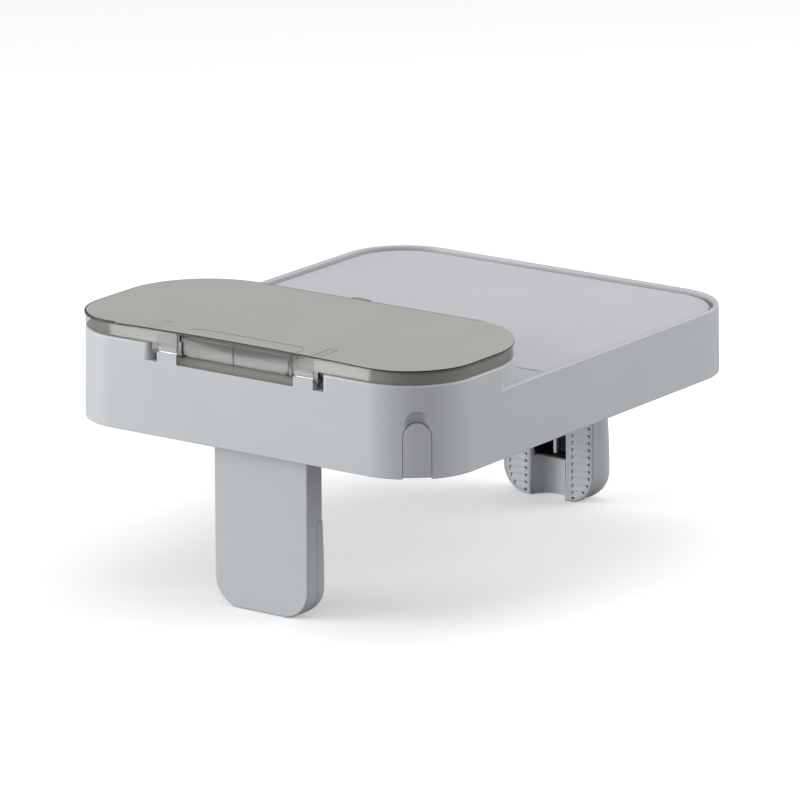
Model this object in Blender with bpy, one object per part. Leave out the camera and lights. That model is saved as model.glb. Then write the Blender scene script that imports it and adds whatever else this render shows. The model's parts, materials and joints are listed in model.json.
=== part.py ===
"""Hot tub tray: a moulded tray with a lidded dry box, clamped over a spa wall by a fixed leg and a sliding jaw.

Sizes are in millimetres and become metres when a mesh is made. The tray is centred on X and Y. The dry box and
the fixed leg are at the front, -Y, and the underside that rests on the spa wall is at Z = 0.
"""

import math

import bmesh
import bpy
from mathutils import Matrix, Vector

MM = 0.001

# Driving dimensions of the tray
WIDTH = 280.0
DEPTH = 350.0
RIM_HEIGHT = 44.0
WALL = 3.0
DRAFT = 0.7
FRONT_LEFT_RADIUS = 40.0
FRONT_RIGHT_RADIUS = 46.0
REAR_RADIUS = 45.0
RIM_ROUND = 1.4
DECK_THICKNESS = 2.4
DECK_STEP = 0.8
EDGE = 0.5

# Clearances, and how far a cutter or a joined solid reaches past a face
GAP = 0.3
RUN = 0.4
OVER = 3.0
BITE = 1.0
FLUSH = 0.02
TINY = 0.001

# Mat and its pocket
POCKET_DEPTH = 6.0
POCKET_FRONT_RADIUS = 10.0
MAT_MARGIN = 4.0
MAT_BELOW_RIM = 2.0
MAT_EDGE = 0.6
MAT_ROUND = 0.8

# Dry box
BOX_HEIGHT = 58.0
BOX_DEPTH = 131.0
BOX_REAR_RADIUS = 57.0
STORE_WALL = 7.6
STORE_FRONT_WALL = 12.6
STORE_FLOOR = 16.0
STORE_SKIN = 2.2
STORE_FILLET = 3.0
UPSTAND_HEIGHT = 5.2
UPSTAND_ROOT = 8.0

# Lid
LID_HEIGHT = 9.5
LID_INSET = 0.8
LID_WALL = 2.0
LID_PLATE = 1.8
LID_ROUND = 0.8
LID_LIP = 1.5
LID_SEAM = 0.4
LID_GROOVE = 0.35
LID_GROOVE_HEIGHT = 0.7
LID_GROOVE_SLOPE = 0.1
SEAL_OUTER = 2.0
SEAL_INNER = 0.2
STIFFENER_GAP = 0.9
THUMB_TAB_X = -10.0
THUMB_TAB_WIDTH = 25.0
THUMB_TAB_REACH = 6.6
THUMB_TAB_THICKNESS = 2.6
THUMB_TAB_ROUND = 5.0
THUMB_TAB_DROP = 0.3

# Lid hinge
HINGE_X = -5.2
HINGE_DROP = 4.6
HINGE_SETBACK = 2.4
NOTCH_END = 9.7
NOTCH_DROP = 10.8
NOTCH_IN = 8.7
KNUCKLE_INNER = 44.0
KNUCKLE_WIDTH = 14.8
EAR_WIDTH = 3.4
EAR_RADIUS = 2.3
EAR_ROOT = 1.8
WINDOW_DROP = 10.2
WINDOW_BAR = 3.8
WINDOW_BAR_DEPTH = 0.8
HINGE_PIN_RADIUS = 1.0
PIN_CLEARANCE = 0.25

# Bag hook in the front right corner
HOOK_ANGLE = 40.0
HOOK_WIDTH = 17.2
HOOK_HEIGHT = 34.5
HOOK_THICKNESS = 3.4
HOOK_BOTTOM = 0.5
HOOK_RECESS = 4.8
HOOK_GAP = 0.35
HOOK_PIN_HEIGHT = 2.8
HOOK_PIN_DEPTH = 2.6
HOOK_PIN_RADIUS = 0.8
HOOK_BARREL = 1.8
HOOK_PIN_REACH = 1.5
HOUSING_WALL = 3.0
SCOOP_HALF_WIDTH = 7.75
SCOOP_RISE = 8.4
SCOOP_DEPTH = 4.0
SCOOP_DROP = 0.6

# Base cover and its screws
BASE_THICKNESS = 2.4
BASE_MARGIN = 3.4
BASE_EDGE = 0.4
BASE_SCREW_SIDE = 18.0
BASE_SCREW_FRONT = 57.0
BASE_SCREW_REAR = 29.0
BASE_SCREW_LENGTH = 9.0
SCREW_RADIUS = 1.2
SCREW_HEAD_RADIUS = 3.0
SCREW_HEAD = 1.3
SCREW_SINK = 0.2
BOSS_RADIUS = 4.0

# Clamp heads: the fixed leg and the sliding jaw
HEAD_WIDTH = 71.0
HEAD_DROP = 106.6
HEAD_RADIUS = 19.0
HEAD_CLEARANCE = 0.5
HEAD_WALL = 2.4
HEAD_ROOF = 3.0
HEAD_FULLEST = 83.0
PAD_TOP = 46.0
PAD_INSET = 2.2
PAD_DEPTH = 1.6
RIB_PITCH = 4.8
RIB_DEPTH = 0.9
RIB_STEP = 0.5
RIB_CREST = 0.1
DIMPLE_RADIUS = 1.0
DIMPLE_EDGE = 1.6
DIMPLE_DEPTH = 0.95
CHANNEL_WIDTH = 26.8
CHANNEL_TOP = 80.5
FOOT_ROUND = 14.0

# Fixed leg
LEG_SETBACK = 19.3
LEG_THICKNESS = 15.4
LEG_FACE_TOP = 45.4
LEG_FACE_ROOT = 9.7
LEG_BULGE = 3.0
LEG_STEP = 0.6
LEG_SEAT_DEPTH = 0.28
LEG_FOOT = 11.0
LEG_SHELL_FOOT = 8.0
LEG_HOLLOW_FOOT = 6.0
LEG_CHANNEL_DEPTH = 6.0
LEG_SCREW_X = 20.0
LEG_SCREW_LENGTH = 13.0

# Sliding jaw
JAW_FACE = 18.3
JAW_FACE_THICKNESS = 4.1
JAW_THICKNESS = 15.8
JAW_BULGE = 7.0
JAW_FOOT = 6.0
JAW_BACK_ROUND = 4.5
JAW_CHANNEL_DEPTH = 8.8
JAW_PIPE_WALL = 3.0
JAW_PIPE_BACK = 2.0
JAW_SCREW_LENGTH = 8.5
JAW_TRAVEL = 140.0
LINER_SIDE = 3.0
LINER_WALL = 1.2
LINER_DROP = 5.5
LINER_BACK_GAP = 0.9

# Carriage and rails
CARRIAGE_WIDTH = 94.0
CARRIAGE_LENGTH = 34.0
CARRIAGE_THICKNESS = 3.8
CARRIAGE_REAR_GAP = 2.0
CARRIAGE_ROUND = 2.0
SPINE_WIDTH = 6.0
SPINE_HEIGHT = 3.0
SPINE_END = 8.0
PRONG_X = 22.0
PRONG_WIDTH = 9.2
PRONG_LENGTH = 8.8
PRONG_SETBACK = 3.2
RAIL_WALL = 4.0
RAIL_LIP = 4.4
RAIL_LIP_THICKNESS = 2.4
RAIL_RUN_OUT = 4.0
RAIL_REAR_GAP = 1.5
RAIL_SCREW_END = 27.0
RAIL_SCREW_LENGTH = 5.5
RAIL_PILOT = 5.0

# Release lever
LEVER_WIDTH = 3.2
LEVER_DEPTH = 4.8
LEVER_THICKNESS = 2.4
LEVER_BOTTOM = 76.0
LEVER_PIVOT_DROP = 9.0
LEVER_PIVOT_BACK = 7.0
LEVER_HUB = 2.2
LEVER_PIN_RADIUS = 1.0
LEVER_WEB = 6.0
LEVER_ARM = 2.4
LEVER_HEAD_SETBACK = 1.9
BRAKE_WIDTH = 9.4
BRAKE_LENGTH = 4.0
BRAKE_THICKNESS = 2.3
BRAKE_RUN = 0.35
BRAKE_OPENING = 1.2

CORNER_STEPS = 10
ROUND_STEPS = 3
SIDES = 16

# Places worked out from the sizes above
LEFT = -WIDTH / 2
RIGHT = WIDTH / 2
FRONT = -DEPTH / 2
REAR = DEPTH / 2
CORNERS = (FRONT_LEFT_RADIUS, FRONT_RIGHT_RADIUS, REAR_RADIUS, REAR_RADIUS)
POCKET_FLOOR = RIM_HEIGHT - POCKET_DEPTH
DECK_UNDERSIDE = POCKET_FLOOR - DECK_THICKNESS
UPSTAND_TOP = BOX_HEIGHT + UPSTAND_HEIGHT
LID_BOTTOM = BOX_HEIGHT + LID_SEAM
LID_TOP = BOX_HEIGHT + LID_HEIGHT
LID_CEILING = LID_TOP - LID_PLATE


def draft_at(z):
    """How far the outer wall has drawn in at this height."""
    return DRAFT * z / RIM_HEIGHT


BOX_DRAW = draft_at(BOX_HEIGHT)
BOX_REAR = FRONT + BOX_DEPTH + BOX_DRAW
BOX_CORNERS = (FRONT_LEFT_RADIUS, FRONT_RIGHT_RADIUS, BOX_REAR_RADIUS + BOX_DRAW, BOX_REAR_RADIUS + BOX_DRAW)
HINGE_Y = FRONT + BOX_DRAW + HINGE_SETBACK
HINGE_Z = BOX_HEIGHT - HINGE_DROP
NOTCH_FLOOR = BOX_HEIGHT - NOTCH_DROP
LEG_OUTER = FRONT + LEG_SETBACK
LEG_INNER = LEG_OUTER + LEG_THICKNESS
LEG_JOINT = LEG_OUTER + LEG_FACE_ROOT
JAW_INNER = REAR - JAW_FACE
JAW_JOINT = JAW_INNER + JAW_FACE_THICKNESS
PRONG_FRONT = JAW_INNER + PRONG_SETBACK
SLOT_HALF = PRONG_WIDTH / 2 + RUN
RAIL_X = CARRIAGE_WIDTH / 2 + RUN
CARRIAGE_BOTTOM = BASE_THICKNESS + RUN
CARRIAGE_TOP = CARRIAGE_BOTTOM + CARRIAGE_THICKNESS
CARRIAGE_REAR = REAR - WALL - CARRIAGE_REAR_GAP
HEAD_TOP = -HEAD_CLEARANCE
LEG_TOP = LEG_SEAT_DEPTH - GAP
ROOF_UNDERSIDE = HEAD_TOP - HEAD_ROOF
SCREW_HOLE = SCREW_RADIUS + GAP
NOTCH_HALF = KNUCKLE_INNER + KNUCKLE_WIDTH + NOTCH_END
HOOK_CORNER = (RIGHT - FRONT_RIGHT_RADIUS, FRONT + FRONT_RIGHT_RADIUS)
PIVOT_Y = JAW_INNER + LEVER_PIVOT_BACK
PIVOT_Z = -LEVER_PIVOT_DROP


def material(name, colour, roughness, metallic=0.0, alpha=1.0):
    """A plain Principled material; colour is linear."""
    made = bpy.data.materials.new(name)
    made.use_nodes = True
    shader = made.node_tree.nodes["Principled BSDF"]
    shader.inputs["Base Color"].default_value = (*colour, 1.0)
    shader.inputs["Roughness"].default_value = roughness
    shader.inputs["Metallic"].default_value = metallic
    shader.inputs["Alpha"].default_value = alpha
    return made


def plan(x0, x1, y0, y1, radii, inset=0.0, steps=CORNER_STEPS):
    """A rounded rectangle, anticlockwise from its front left corner, drawn in by inset."""
    centres = (
        (x0 + radii[0], y0 + radii[0]),
        (x1 - radii[1], y0 + radii[1]),
        (x1 - radii[2], y1 - radii[2]),
        (x0 + radii[3], y1 - radii[3]),
    )
    points = []
    for corner, (cx, cy) in enumerate(centres):
        radius = radii[corner] - inset
        for step in range(steps + 1):
            angle = math.pi * (1.0 + (corner + step / steps) / 2)
            points.append((cx + radius * math.cos(angle), cy + radius * math.sin(angle)))
    return points


def tray_plan(inset):
    return plan(LEFT, RIGHT, FRONT, REAR, CORNERS, inset)


def box_plan(inset):
    return plan(LEFT, RIGHT, FRONT, BOX_REAR, BOX_CORNERS, inset)


def store_plan(inset):
    """The dry box's inner outline, drawn in by inset."""
    radii = [radius - STORE_WALL for radius in BOX_CORNERS]
    left = LEFT + STORE_WALL
    right = RIGHT - STORE_WALL
    return plan(left, right, FRONT + STORE_FRONT_WALL, BOX_REAR - STORE_WALL, radii, inset)


def pocket_plan(inset):
    wall = WALL + DRAFT
    radii = (POCKET_FRONT_RADIUS, POCKET_FRONT_RADIUS, REAR_RADIUS - wall, REAR_RADIUS - wall)
    return plan(LEFT + wall, RIGHT - wall, FRONT + BOX_DEPTH - 0.5, REAR - wall, radii, inset)


def at_height(outline, z):
    return [(x, y, z) for x, y in outline]


def along(axis):
    """Turns a point of an outline and a place along an axis into a point in space."""
    if axis == "x":
        return lambda p, t: (t, p[0], p[1])
    if axis == "y":
        return lambda p, t: (p[0], t, p[1])
    return lambda p, t: (p[0], p[1], t)


def rounded_top(outline_at, inset, top, radius):
    """Rings that carry an outline round a top edge. outline_at(inset) gives the outline."""
    rings = []
    for step in range(ROUND_STEPS + 1):
        angle = math.pi / 2 * step / ROUND_STEPS
        drawn = inset + radius * (1.0 - math.cos(angle))
        rings.append(at_height(outline_at(drawn), top - radius * (1.0 - math.sin(angle))))
    return rings


def add_object(name, bm, mat=None):
    bmesh.ops.recalc_face_normals(bm, faces=bm.faces[:])
    mesh = bpy.data.meshes.new(name)
    bm.to_mesh(mesh)
    bm.free()
    made = bpy.data.objects.new(name, mesh)
    bpy.context.scene.collection.objects.link(made)
    if mat is None:
        made.hide_render = True
        made.display_type = "WIRE"
    else:
        mesh.materials.append(mat)
        mesh.shade_smooth()
        mesh.set_sharp_from_angle(angle=math.radians(35.0))
    return made


def loft(name, rings, mat=None):
    """A closed solid whose first ring is extruded through the others."""
    bm = bmesh.new()
    face = bm.faces.new([bm.verts.new(Vector(point) * MM) for point in rings[0]])
    for ring in rings[1:]:
        extruded = bmesh.ops.extrude_face_region(bm, geom=[face])["geom"]
        if face.is_valid and len(bm.faces) > len(ring) + 2:
            bm.faces.remove(face)
        face = next(item for item in extruded if isinstance(item, bmesh.types.BMFace))
        for vert, point in zip(face.verts, ring):
            vert.co = Vector(point) * MM
    return add_object(name, bm, mat)


def prism(name, outline, axis, low, high, mat=None):
    """An outline extruded along an axis: x takes (y, z) points, y takes (x, z) and z takes (x, y)."""
    place = along(axis)
    return loft(name, [[place(point, level) for point in outline] for level in (low, high)], mat)


def block(name, low, high, mat=None):
    outline = [(low[0], low[1]), (high[0], low[1]), (high[0], high[1]), (low[0], high[1])]
    return prism(name, outline, "z", low[2], high[2], mat)


def circle(centre, radius, sides=SIDES):
    turn = 2 * math.pi / sides
    return [(centre[0] + radius * math.cos(turn * i), centre[1] + radius * math.sin(turn * i)) for i in range(sides)]


def rods(name, axis, runs, mat=None, sides=SIDES):
    """Round bars as separate solids of one object. A run is (centre, [(place along the axis, radius), ...])."""
    bm = bmesh.new()
    point_at = along(axis)
    for centre, stations in runs:
        loops = []
        for place, radius in stations:
            loops.append([bm.verts.new(Vector(point_at(p, place)) * MM) for p in circle(centre, radius, sides)])
        for lower, upper in zip(loops, loops[1:]):
            for i in range(sides):
                j = (i + 1) % sides
                bm.faces.new((lower[i], lower[j], upper[j], upper[i]))
        bm.faces.new(loops[0])
        bm.faces.new(loops[-1])
    return add_object(name, bm, mat)


def boolean(target, tool, operation):
    modifier = target.modifiers.new(operation.title() + " " + tool.name, "BOOLEAN")
    modifier.operation = operation
    modifier.solver = "EXACT"
    modifier.object = tool


def cut(target, *tools):
    for tool in tools:
        boolean(target, tool, "DIFFERENCE")


def join(target, *tools):
    for tool in tools:
        boolean(target, tool, "UNION")


def meet(target, *tools):
    for tool in tools:
        boolean(target, tool, "INTERSECT")


def turned(made, angle, centre):
    """Turns a mesh about a vertical line through centre."""
    move = Matrix.Translation(Vector((*centre, 0.0)) * MM) @ Matrix.Rotation(math.radians(angle), 4, "Z")
    made.data.transform(move)
    return made


def axis_empty(name, place):
    empty = bpy.data.objects.new(name, None)
    empty.location = Vector(place) * MM
    empty.empty_display_size = 0.02
    bpy.context.scene.collection.objects.link(empty)
    return empty


def carry(empty, *pieces):
    """Parents pieces to a joint's empty without moving them."""
    for piece in pieces:
        piece.parent = empty
        piece.matrix_parent_inverse = Matrix.Translation(empty.location).inverted()


def head_half_width(z, inset=0.0):
    """Half the width of a clamp head at this height: straight sides, then the round lower corner."""
    half = HEAD_WIDTH / 2 - inset
    radius = HEAD_RADIUS - inset
    rise = z + HEAD_DROP - inset
    if rise >= radius:
        return half
    return half - radius + math.sqrt(max(radius**2 - (radius - rise) ** 2, 0.0))


def head_levels(top, inset=0.0):
    """Heights for a clamp head's sections, closer together round its lower corner."""
    bottom = -HEAD_DROP + inset
    radius = HEAD_RADIUS - inset
    levels = []
    for step in range(9):
        levels.append(bottom + radius * (1.0 - math.cos(math.pi / 2 * step / 8)))
    straight = top - levels[-1]
    count = 5
    levels += [levels[-1] + straight * (step + 1) / count for step in range(count)]
    return levels


def swell(z, size):
    """The gentle bulge of a head's side, fullest near its foot."""
    share = min(max(-z / HEAD_FULLEST, 0.0), 1.0)
    return size * share**2 * (3.0 - 2.0 * share)


def foot(z, size):
    """How far a head's rounded lower edge has drawn in."""
    share = min(max((FOOT_ROUND - HEAD_DROP - z) / FOOT_ROUND, 0.0), 1.0)
    return size * (1.0 - math.sqrt(1.0 - (0.97 * share) ** 2))


def section(half, y0, y1, front_round, rear_round, z):
    """A level slice of a clamp head."""
    radii = (front_round, front_round, rear_round, rear_round)
    return at_height(plan(-half, half, y0, y1, radii, 0.0, 3), z)


def lobe_outline(side, inset, top):
    """Outline of one grip lobe, (x, z), between the finger channel and the head's edge."""
    inner = CHANNEL_WIDTH / 2 + inset
    radius = HEAD_RADIUS - inset
    outer = HEAD_WIDTH / 2 - inset
    centre = (outer - radius, inset - HEAD_DROP + radius)
    points = [(inner, top), (inner, inset - HEAD_DROP)]
    for step in range(9):
        angle = -math.pi / 2 * (1.0 - step / 8)
        points.append((centre[0] + radius * math.cos(angle), centre[1] + radius * math.sin(angle)))
    points.append((outer, top))
    return [(side * x, z) for x, z in points]


def rib_levels():
    count = int((HEAD_DROP - PAD_INSET - PAD_TOP) / RIB_PITCH)
    return [-PAD_TOP - RIB_PITCH * (i + 1) for i in range(count)]


def grip_pad(name, side, face_at, inward, mat):
    """A ribbed pad. face_at(z) is the head's inner face and inward is the sign of Y that leads out of it."""
    lobe = lobe_outline(side, PAD_INSET, -PAD_TOP - GAP)
    top = -PAD_TOP
    bottom = -HEAD_DROP
    steps = [top, *rib_levels(), bottom]
    ribs = []
    for upper, lower in zip(steps, steps[1:]):
        ribs.append((face_at(upper) - inward * RIB_DEPTH, upper))
        ribs.append((face_at(lower) - inward * RIB_CREST, lower + RIB_STEP))
    backs = [(face_at(z) - inward * (PAD_DEPTH - GAP), z) for z in reversed(steps)]
    low, high = sorted((side * BITE, side * HEAD_WIDTH))
    pad = prism(name, ribs + backs, "x", low, high, mat)
    near, far = sorted((face_at(top) - LEG_THICKNESS, face_at(top) + LEG_THICKNESS))
    meet(pad, prism(name + "_outline", lobe, "y", near, far))
    holes = []
    for z in rib_levels():
        inner = CHANNEL_WIDTH / 2 + PAD_INSET + DIMPLE_EDGE
        outer = head_half_width(z, PAD_INSET) - DIMPLE_EDGE
        if outer > inner:
            x = outer if side > 0 else -inner
            ends = sorted((face_at(z) - inward * DIMPLE_DEPTH, face_at(z) + inward * OVER))
            holes.append(((x, z), [(ends[0], DIMPLE_RADIUS), (ends[1], DIMPLE_RADIUS)]))
    cut(pad, rods(name + "_dimples", "y", holes, None, 8))
    return pad


def pad_recess(name, side, face_at, inward):
    """The shallow pocket that a grip pad lies in."""
    top = -PAD_TOP
    levels = [top + OVER, *rib_levels(), -HEAD_DROP]
    fronts = [(face_at(z) + inward * OVER, z) for z in levels]
    backs = [(face_at(z) - inward * PAD_DEPTH, z) for z in reversed(levels)]
    low, high = sorted((side * BITE, side * HEAD_WIDTH))
    recess = prism(name, fronts + backs, "x", low, high)
    near, far = sorted((face_at(top) - LEG_THICKNESS, face_at(top) + LEG_THICKNESS))
    meet(recess, prism(name + "_outline", lobe_outline(side, PAD_INSET - GAP, top), "y", near, far))
    return recess


def channel_cutter(name, face_y, inward, depth, low, high):
    """A round-bottomed groove up the middle of a head."""
    half = CHANNEL_WIDTH / 2
    radius = (half**2 + depth**2) / (2 * depth)
    centre = (0.0, face_y + inward * (radius - depth))
    return rods(name, "z", [(centre, [(low, radius), (high, radius)])], None, 48)


def skirt_rings():
    """The skirt's lower edge and the start of its wall."""
    return [at_height(tray_plan(EDGE), 0.0), at_height(tray_plan(draft_at(EDGE)), EDGE)]


def base_screw_places():
    middle = (FRONT + BASE_SCREW_FRONT + REAR - BASE_SCREW_REAR) / 2
    ys = (FRONT + BASE_SCREW_FRONT, middle, REAR - BASE_SCREW_REAR)
    return [(x, y) for x in (LEFT + BASE_SCREW_SIDE, RIGHT - BASE_SCREW_SIDE) for y in ys]


def leg_screw_places():
    return [(x, (LEG_OUTER + LEG_INNER) / 2) for x in (-LEG_SCREW_X, LEG_SCREW_X)]


def make_tray_body(mat):
    rings = skirt_rings() + rounded_top(tray_plan, DRAFT, RIM_HEIGHT, RIM_ROUND)
    body = loft("tray_body", rings, mat)

    pocket_rings = [at_height(pocket_plan(0.0), POCKET_FLOOR)]
    for step in range(ROUND_STEPS + 1):
        angle = math.pi / 2 * step / ROUND_STEPS
        drawn = -RIM_ROUND * (1.0 - math.cos(angle))
        pocket_rings.append(at_height(pocket_plan(drawn), RIM_HEIGHT - RIM_ROUND * (1.0 - math.sin(angle))))
    pocket_rings.append(at_height(pocket_plan(-RIM_ROUND), RIM_HEIGHT + OVER))
    wall = WALL + DRAFT
    step_low = (LEFT + wall, FRONT + FRONT_RIGHT_RADIUS, RIM_HEIGHT - DECK_STEP)
    step_high = (RIGHT - wall, FRONT + BOX_DEPTH + BITE, RIM_HEIGHT + OVER)
    hollow = [
        at_height(tray_plan(WALL - draft_at(OVER)), -OVER),
        at_height(tray_plan(WALL + draft_at(DECK_UNDERSIDE)), DECK_UNDERSIDE),
    ]
    cut(
        body,
        loft("pocket_cutter", pocket_rings),
        block("deck_step_cutter", step_low, step_high),
        loft("underside_cutter", hollow),
    )

    box_meets = RIM_HEIGHT - 2.0 * RIM_ROUND
    box_rings = [
        at_height(box_plan(draft_at(POCKET_FLOOR) + BITE), POCKET_FLOOR - DECK_THICKNESS),
        at_height(box_plan(draft_at(box_meets) + BITE), box_meets - BITE),
        at_height(box_plan(draft_at(box_meets) - FLUSH), box_meets),
    ]
    box_rings += rounded_top(box_plan, BOX_DRAW - FLUSH, BOX_HEIGHT, RIM_ROUND)
    skin = store_plan(-STORE_SKIN)
    upstand_root = BOX_HEIGHT - UPSTAND_ROOT
    join(
        body,
        loft("box_wall", box_rings),
        loft("box_upstand", [at_height(skin, upstand_root), at_height(skin, UPSTAND_TOP)]),
        loft("store_block", [at_height(skin, STORE_FLOOR - DECK_THICKNESS), at_height(skin, upstand_root - BITE)]),
    )

    bosses = []
    pilots = []
    for x, y in base_screw_places() + leg_screw_places():
        ceiling = STORE_FLOOR if y < BOX_REAR - BOX_REAR_RADIUS else POCKET_FLOOR
        bosses.append(((x, y), [(BASE_THICKNESS + GAP, BOSS_RADIUS), (ceiling - BITE, BOSS_RADIUS)]))
        pilots.append(((x, y), [(0.0, SCREW_HOLE), (BASE_THICKNESS + BASE_SCREW_LENGTH, SCREW_HOLE)]))
    join(body, rods("bosses", "z", bosses, None, 12))

    surface = -FRONT_RIGHT_RADIUS
    half = HOOK_WIDTH / 2 + HOUSING_WALL
    housing = block(
        "hook_housing",
        (-half, surface + WALL - BITE, BASE_THICKNESS + GAP),
        (half, surface + HOOK_RECESS + STORE_SKIN, DECK_UNDERSIDE + BITE),
    )
    join(body, turned(housing, HOOK_ANGLE, HOOK_CORNER))

    store_rings = []
    for step in range(ROUND_STEPS + 1):
        angle = math.pi / 2 * step / ROUND_STEPS
        drawn = STORE_FILLET * (1.0 - math.sin(angle))
        store_rings.append(at_height(store_plan(drawn), STORE_FLOOR + STORE_FILLET * (1.0 - math.cos(angle))))
    store_rings.append(at_height(store_plan(0.0), UPSTAND_TOP + OVER))
    notch = block(
        "hinge_notch",
        (HINGE_X - NOTCH_HALF, FRONT - OVER, NOTCH_FLOOR),
        (HINGE_X + NOTCH_HALF, FRONT + BOX_DRAW + NOTCH_IN, UPSTAND_TOP + OVER),
    )
    cut(body, loft("store_cutter", store_rings), notch)

    root = NOTCH_FLOOR - BITE
    knuckle = [(HINGE_Y - HINGE_SETBACK, root), (HINGE_Y + HINGE_SETBACK, root)]
    knuckle += [
        (HINGE_Y + HINGE_SETBACK * math.cos(math.pi * i / 8), HINGE_Z + HINGE_SETBACK * math.sin(math.pi * i / 8))
        for i in range(9)
    ]
    bores = []
    for name, _side, near, far in hinge_sides():
        low, high = sorted((near, far))
        join(body, prism("knuckle_" + name, knuckle, "x", low, high))
        bore = HINGE_PIN_RADIUS + PIN_CLEARANCE
        bores.append(((HINGE_Y, HINGE_Z), [(low - OVER, bore), (high + OVER, bore)]))
    cut(body, rods("hinge_bores", "x", bores, None, 12))

    cut(body, hook_space("hook_recess", HOOK_GAP, HOOK_RECESS))
    cut(body, make_scoop(), hook_pin_bore("hook_bore"))
    cut(body, rods("screw_pilots", "z", pilots, None, 10))


def arch_outline(grow):
    """The hook's outline, (x, z), as seen from outside."""
    half = HOOK_WIDTH / 2
    centre = HOOK_HEIGHT - half
    bottom = HOOK_BOTTOM if grow == 0.0 else -OVER
    points = [(-half - grow, bottom), (half + grow, bottom)]
    for step in range(17):
        angle = math.pi * step / 16
        points.append(((half + grow) * math.cos(angle), centre + (half + grow) * math.sin(angle)))
    return points


def hook_space(name, grow, depth):
    surface = -FRONT_RIGHT_RADIUS
    return turned(prism(name, arch_outline(grow), "y", surface - OVER, surface + depth), HOOK_ANGLE, HOOK_CORNER)


def make_scoop():
    """A finger scoop over the hook's top edge."""
    bm = bmesh.new()
    bmesh.ops.create_uvsphere(bm, u_segments=24, v_segments=16, radius=1.0)
    bmesh.ops.scale(bm, vec=Vector((SCOOP_HALF_WIDTH, SCOOP_DEPTH, SCOOP_RISE)) * MM, verts=bm.verts)
    place = Vector((0.0, -FRONT_RIGHT_RADIUS + draft_at(HOOK_HEIGHT), HOOK_HEIGHT - SCOOP_DROP)) * MM
    bmesh.ops.translate(bm, vec=place, verts=bm.verts)
    return turned(add_object("finger_scoop", bm), HOOK_ANGLE, HOOK_CORNER)


def hook_pin_place():
    return (-FRONT_RIGHT_RADIUS + HOOK_PIN_DEPTH, HOOK_PIN_HEIGHT)


def hook_pin_bore(name):
    reach = HOOK_WIDTH / 2 + HOOK_GAP + HOOK_PIN_REACH + GAP
    radius = HOOK_PIN_RADIUS + PIN_CLEARANCE
    bore = rods(name, "x", [(hook_pin_place(), [(-reach, radius), (reach, radius)])], None, 10)
    return turned(bore, HOOK_ANGLE, HOOK_CORNER)


def make_hook(mat, pin_mat):
    surface = -FRONT_RIGHT_RADIUS
    axis_y, axis_z = hook_pin_place()
    front = surface - OVER
    back = surface + HOOK_THICKNESS
    top = HOOK_HEIGHT + OVER
    side_view = [(front, axis_z), (front, top), (back, top), (back, axis_z + HOOK_BARREL)]
    for step in range(9):
        angle = math.pi / 4 - math.pi * step / 8
        side_view.append((axis_y + HOOK_BARREL * math.cos(angle), axis_z + HOOK_BARREL * math.sin(angle)))
    hook = turned(prism("bag_hook", side_view, "x", -HOOK_WIDTH, HOOK_WIDTH, mat), HOOK_ANGLE, HOOK_CORNER)
    skin = loft("hook_skin", skirt_rings() + [at_height(tray_plan(DRAFT), RIM_HEIGHT)])
    meet(hook, hook_space("hook_arch", 0.0, HOOK_RECESS + OVER), skin)
    cut(hook, hook_pin_bore("hook_barrel_bore"))
    reach = HOOK_WIDTH / 2 + HOOK_GAP + HOOK_PIN_REACH
    run = [(-reach, HOOK_PIN_RADIUS), (reach, HOOK_PIN_RADIUS)]
    turned(rods("hook_pin", "x", [((axis_y, axis_z), run)], pin_mat, 12), HOOK_ANGLE, HOOK_CORNER)
    angle = math.radians(HOOK_ANGLE)
    place = (HOOK_CORNER[0] - axis_y * math.sin(angle), HOOK_CORNER[1] + axis_y * math.cos(angle), axis_z)
    carry(axis_empty("hook_axis", place), hook)


def make_mat(mat):
    bottom = POCKET_FLOOR + GAP
    top = RIM_HEIGHT - MAT_BELOW_RIM
    edge = MAT_MARGIN + MAT_EDGE
    rings = [at_height(pocket_plan(edge), bottom), at_height(pocket_plan(MAT_MARGIN), bottom + MAT_EDGE)]
    loft("tray_mat", rings + rounded_top(pocket_plan, MAT_MARGIN, top, MAT_ROUND), mat)


def hinge_sides():
    """For each hinge: its name, the sign of X, and the X of its knuckle's two ends."""
    for side, name in ((-1, "left"), (1, "right")):
        near = HINGE_X + side * KNUCKLE_INNER
        yield name, side, near, near + side * KNUCKLE_WIDTH


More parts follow.
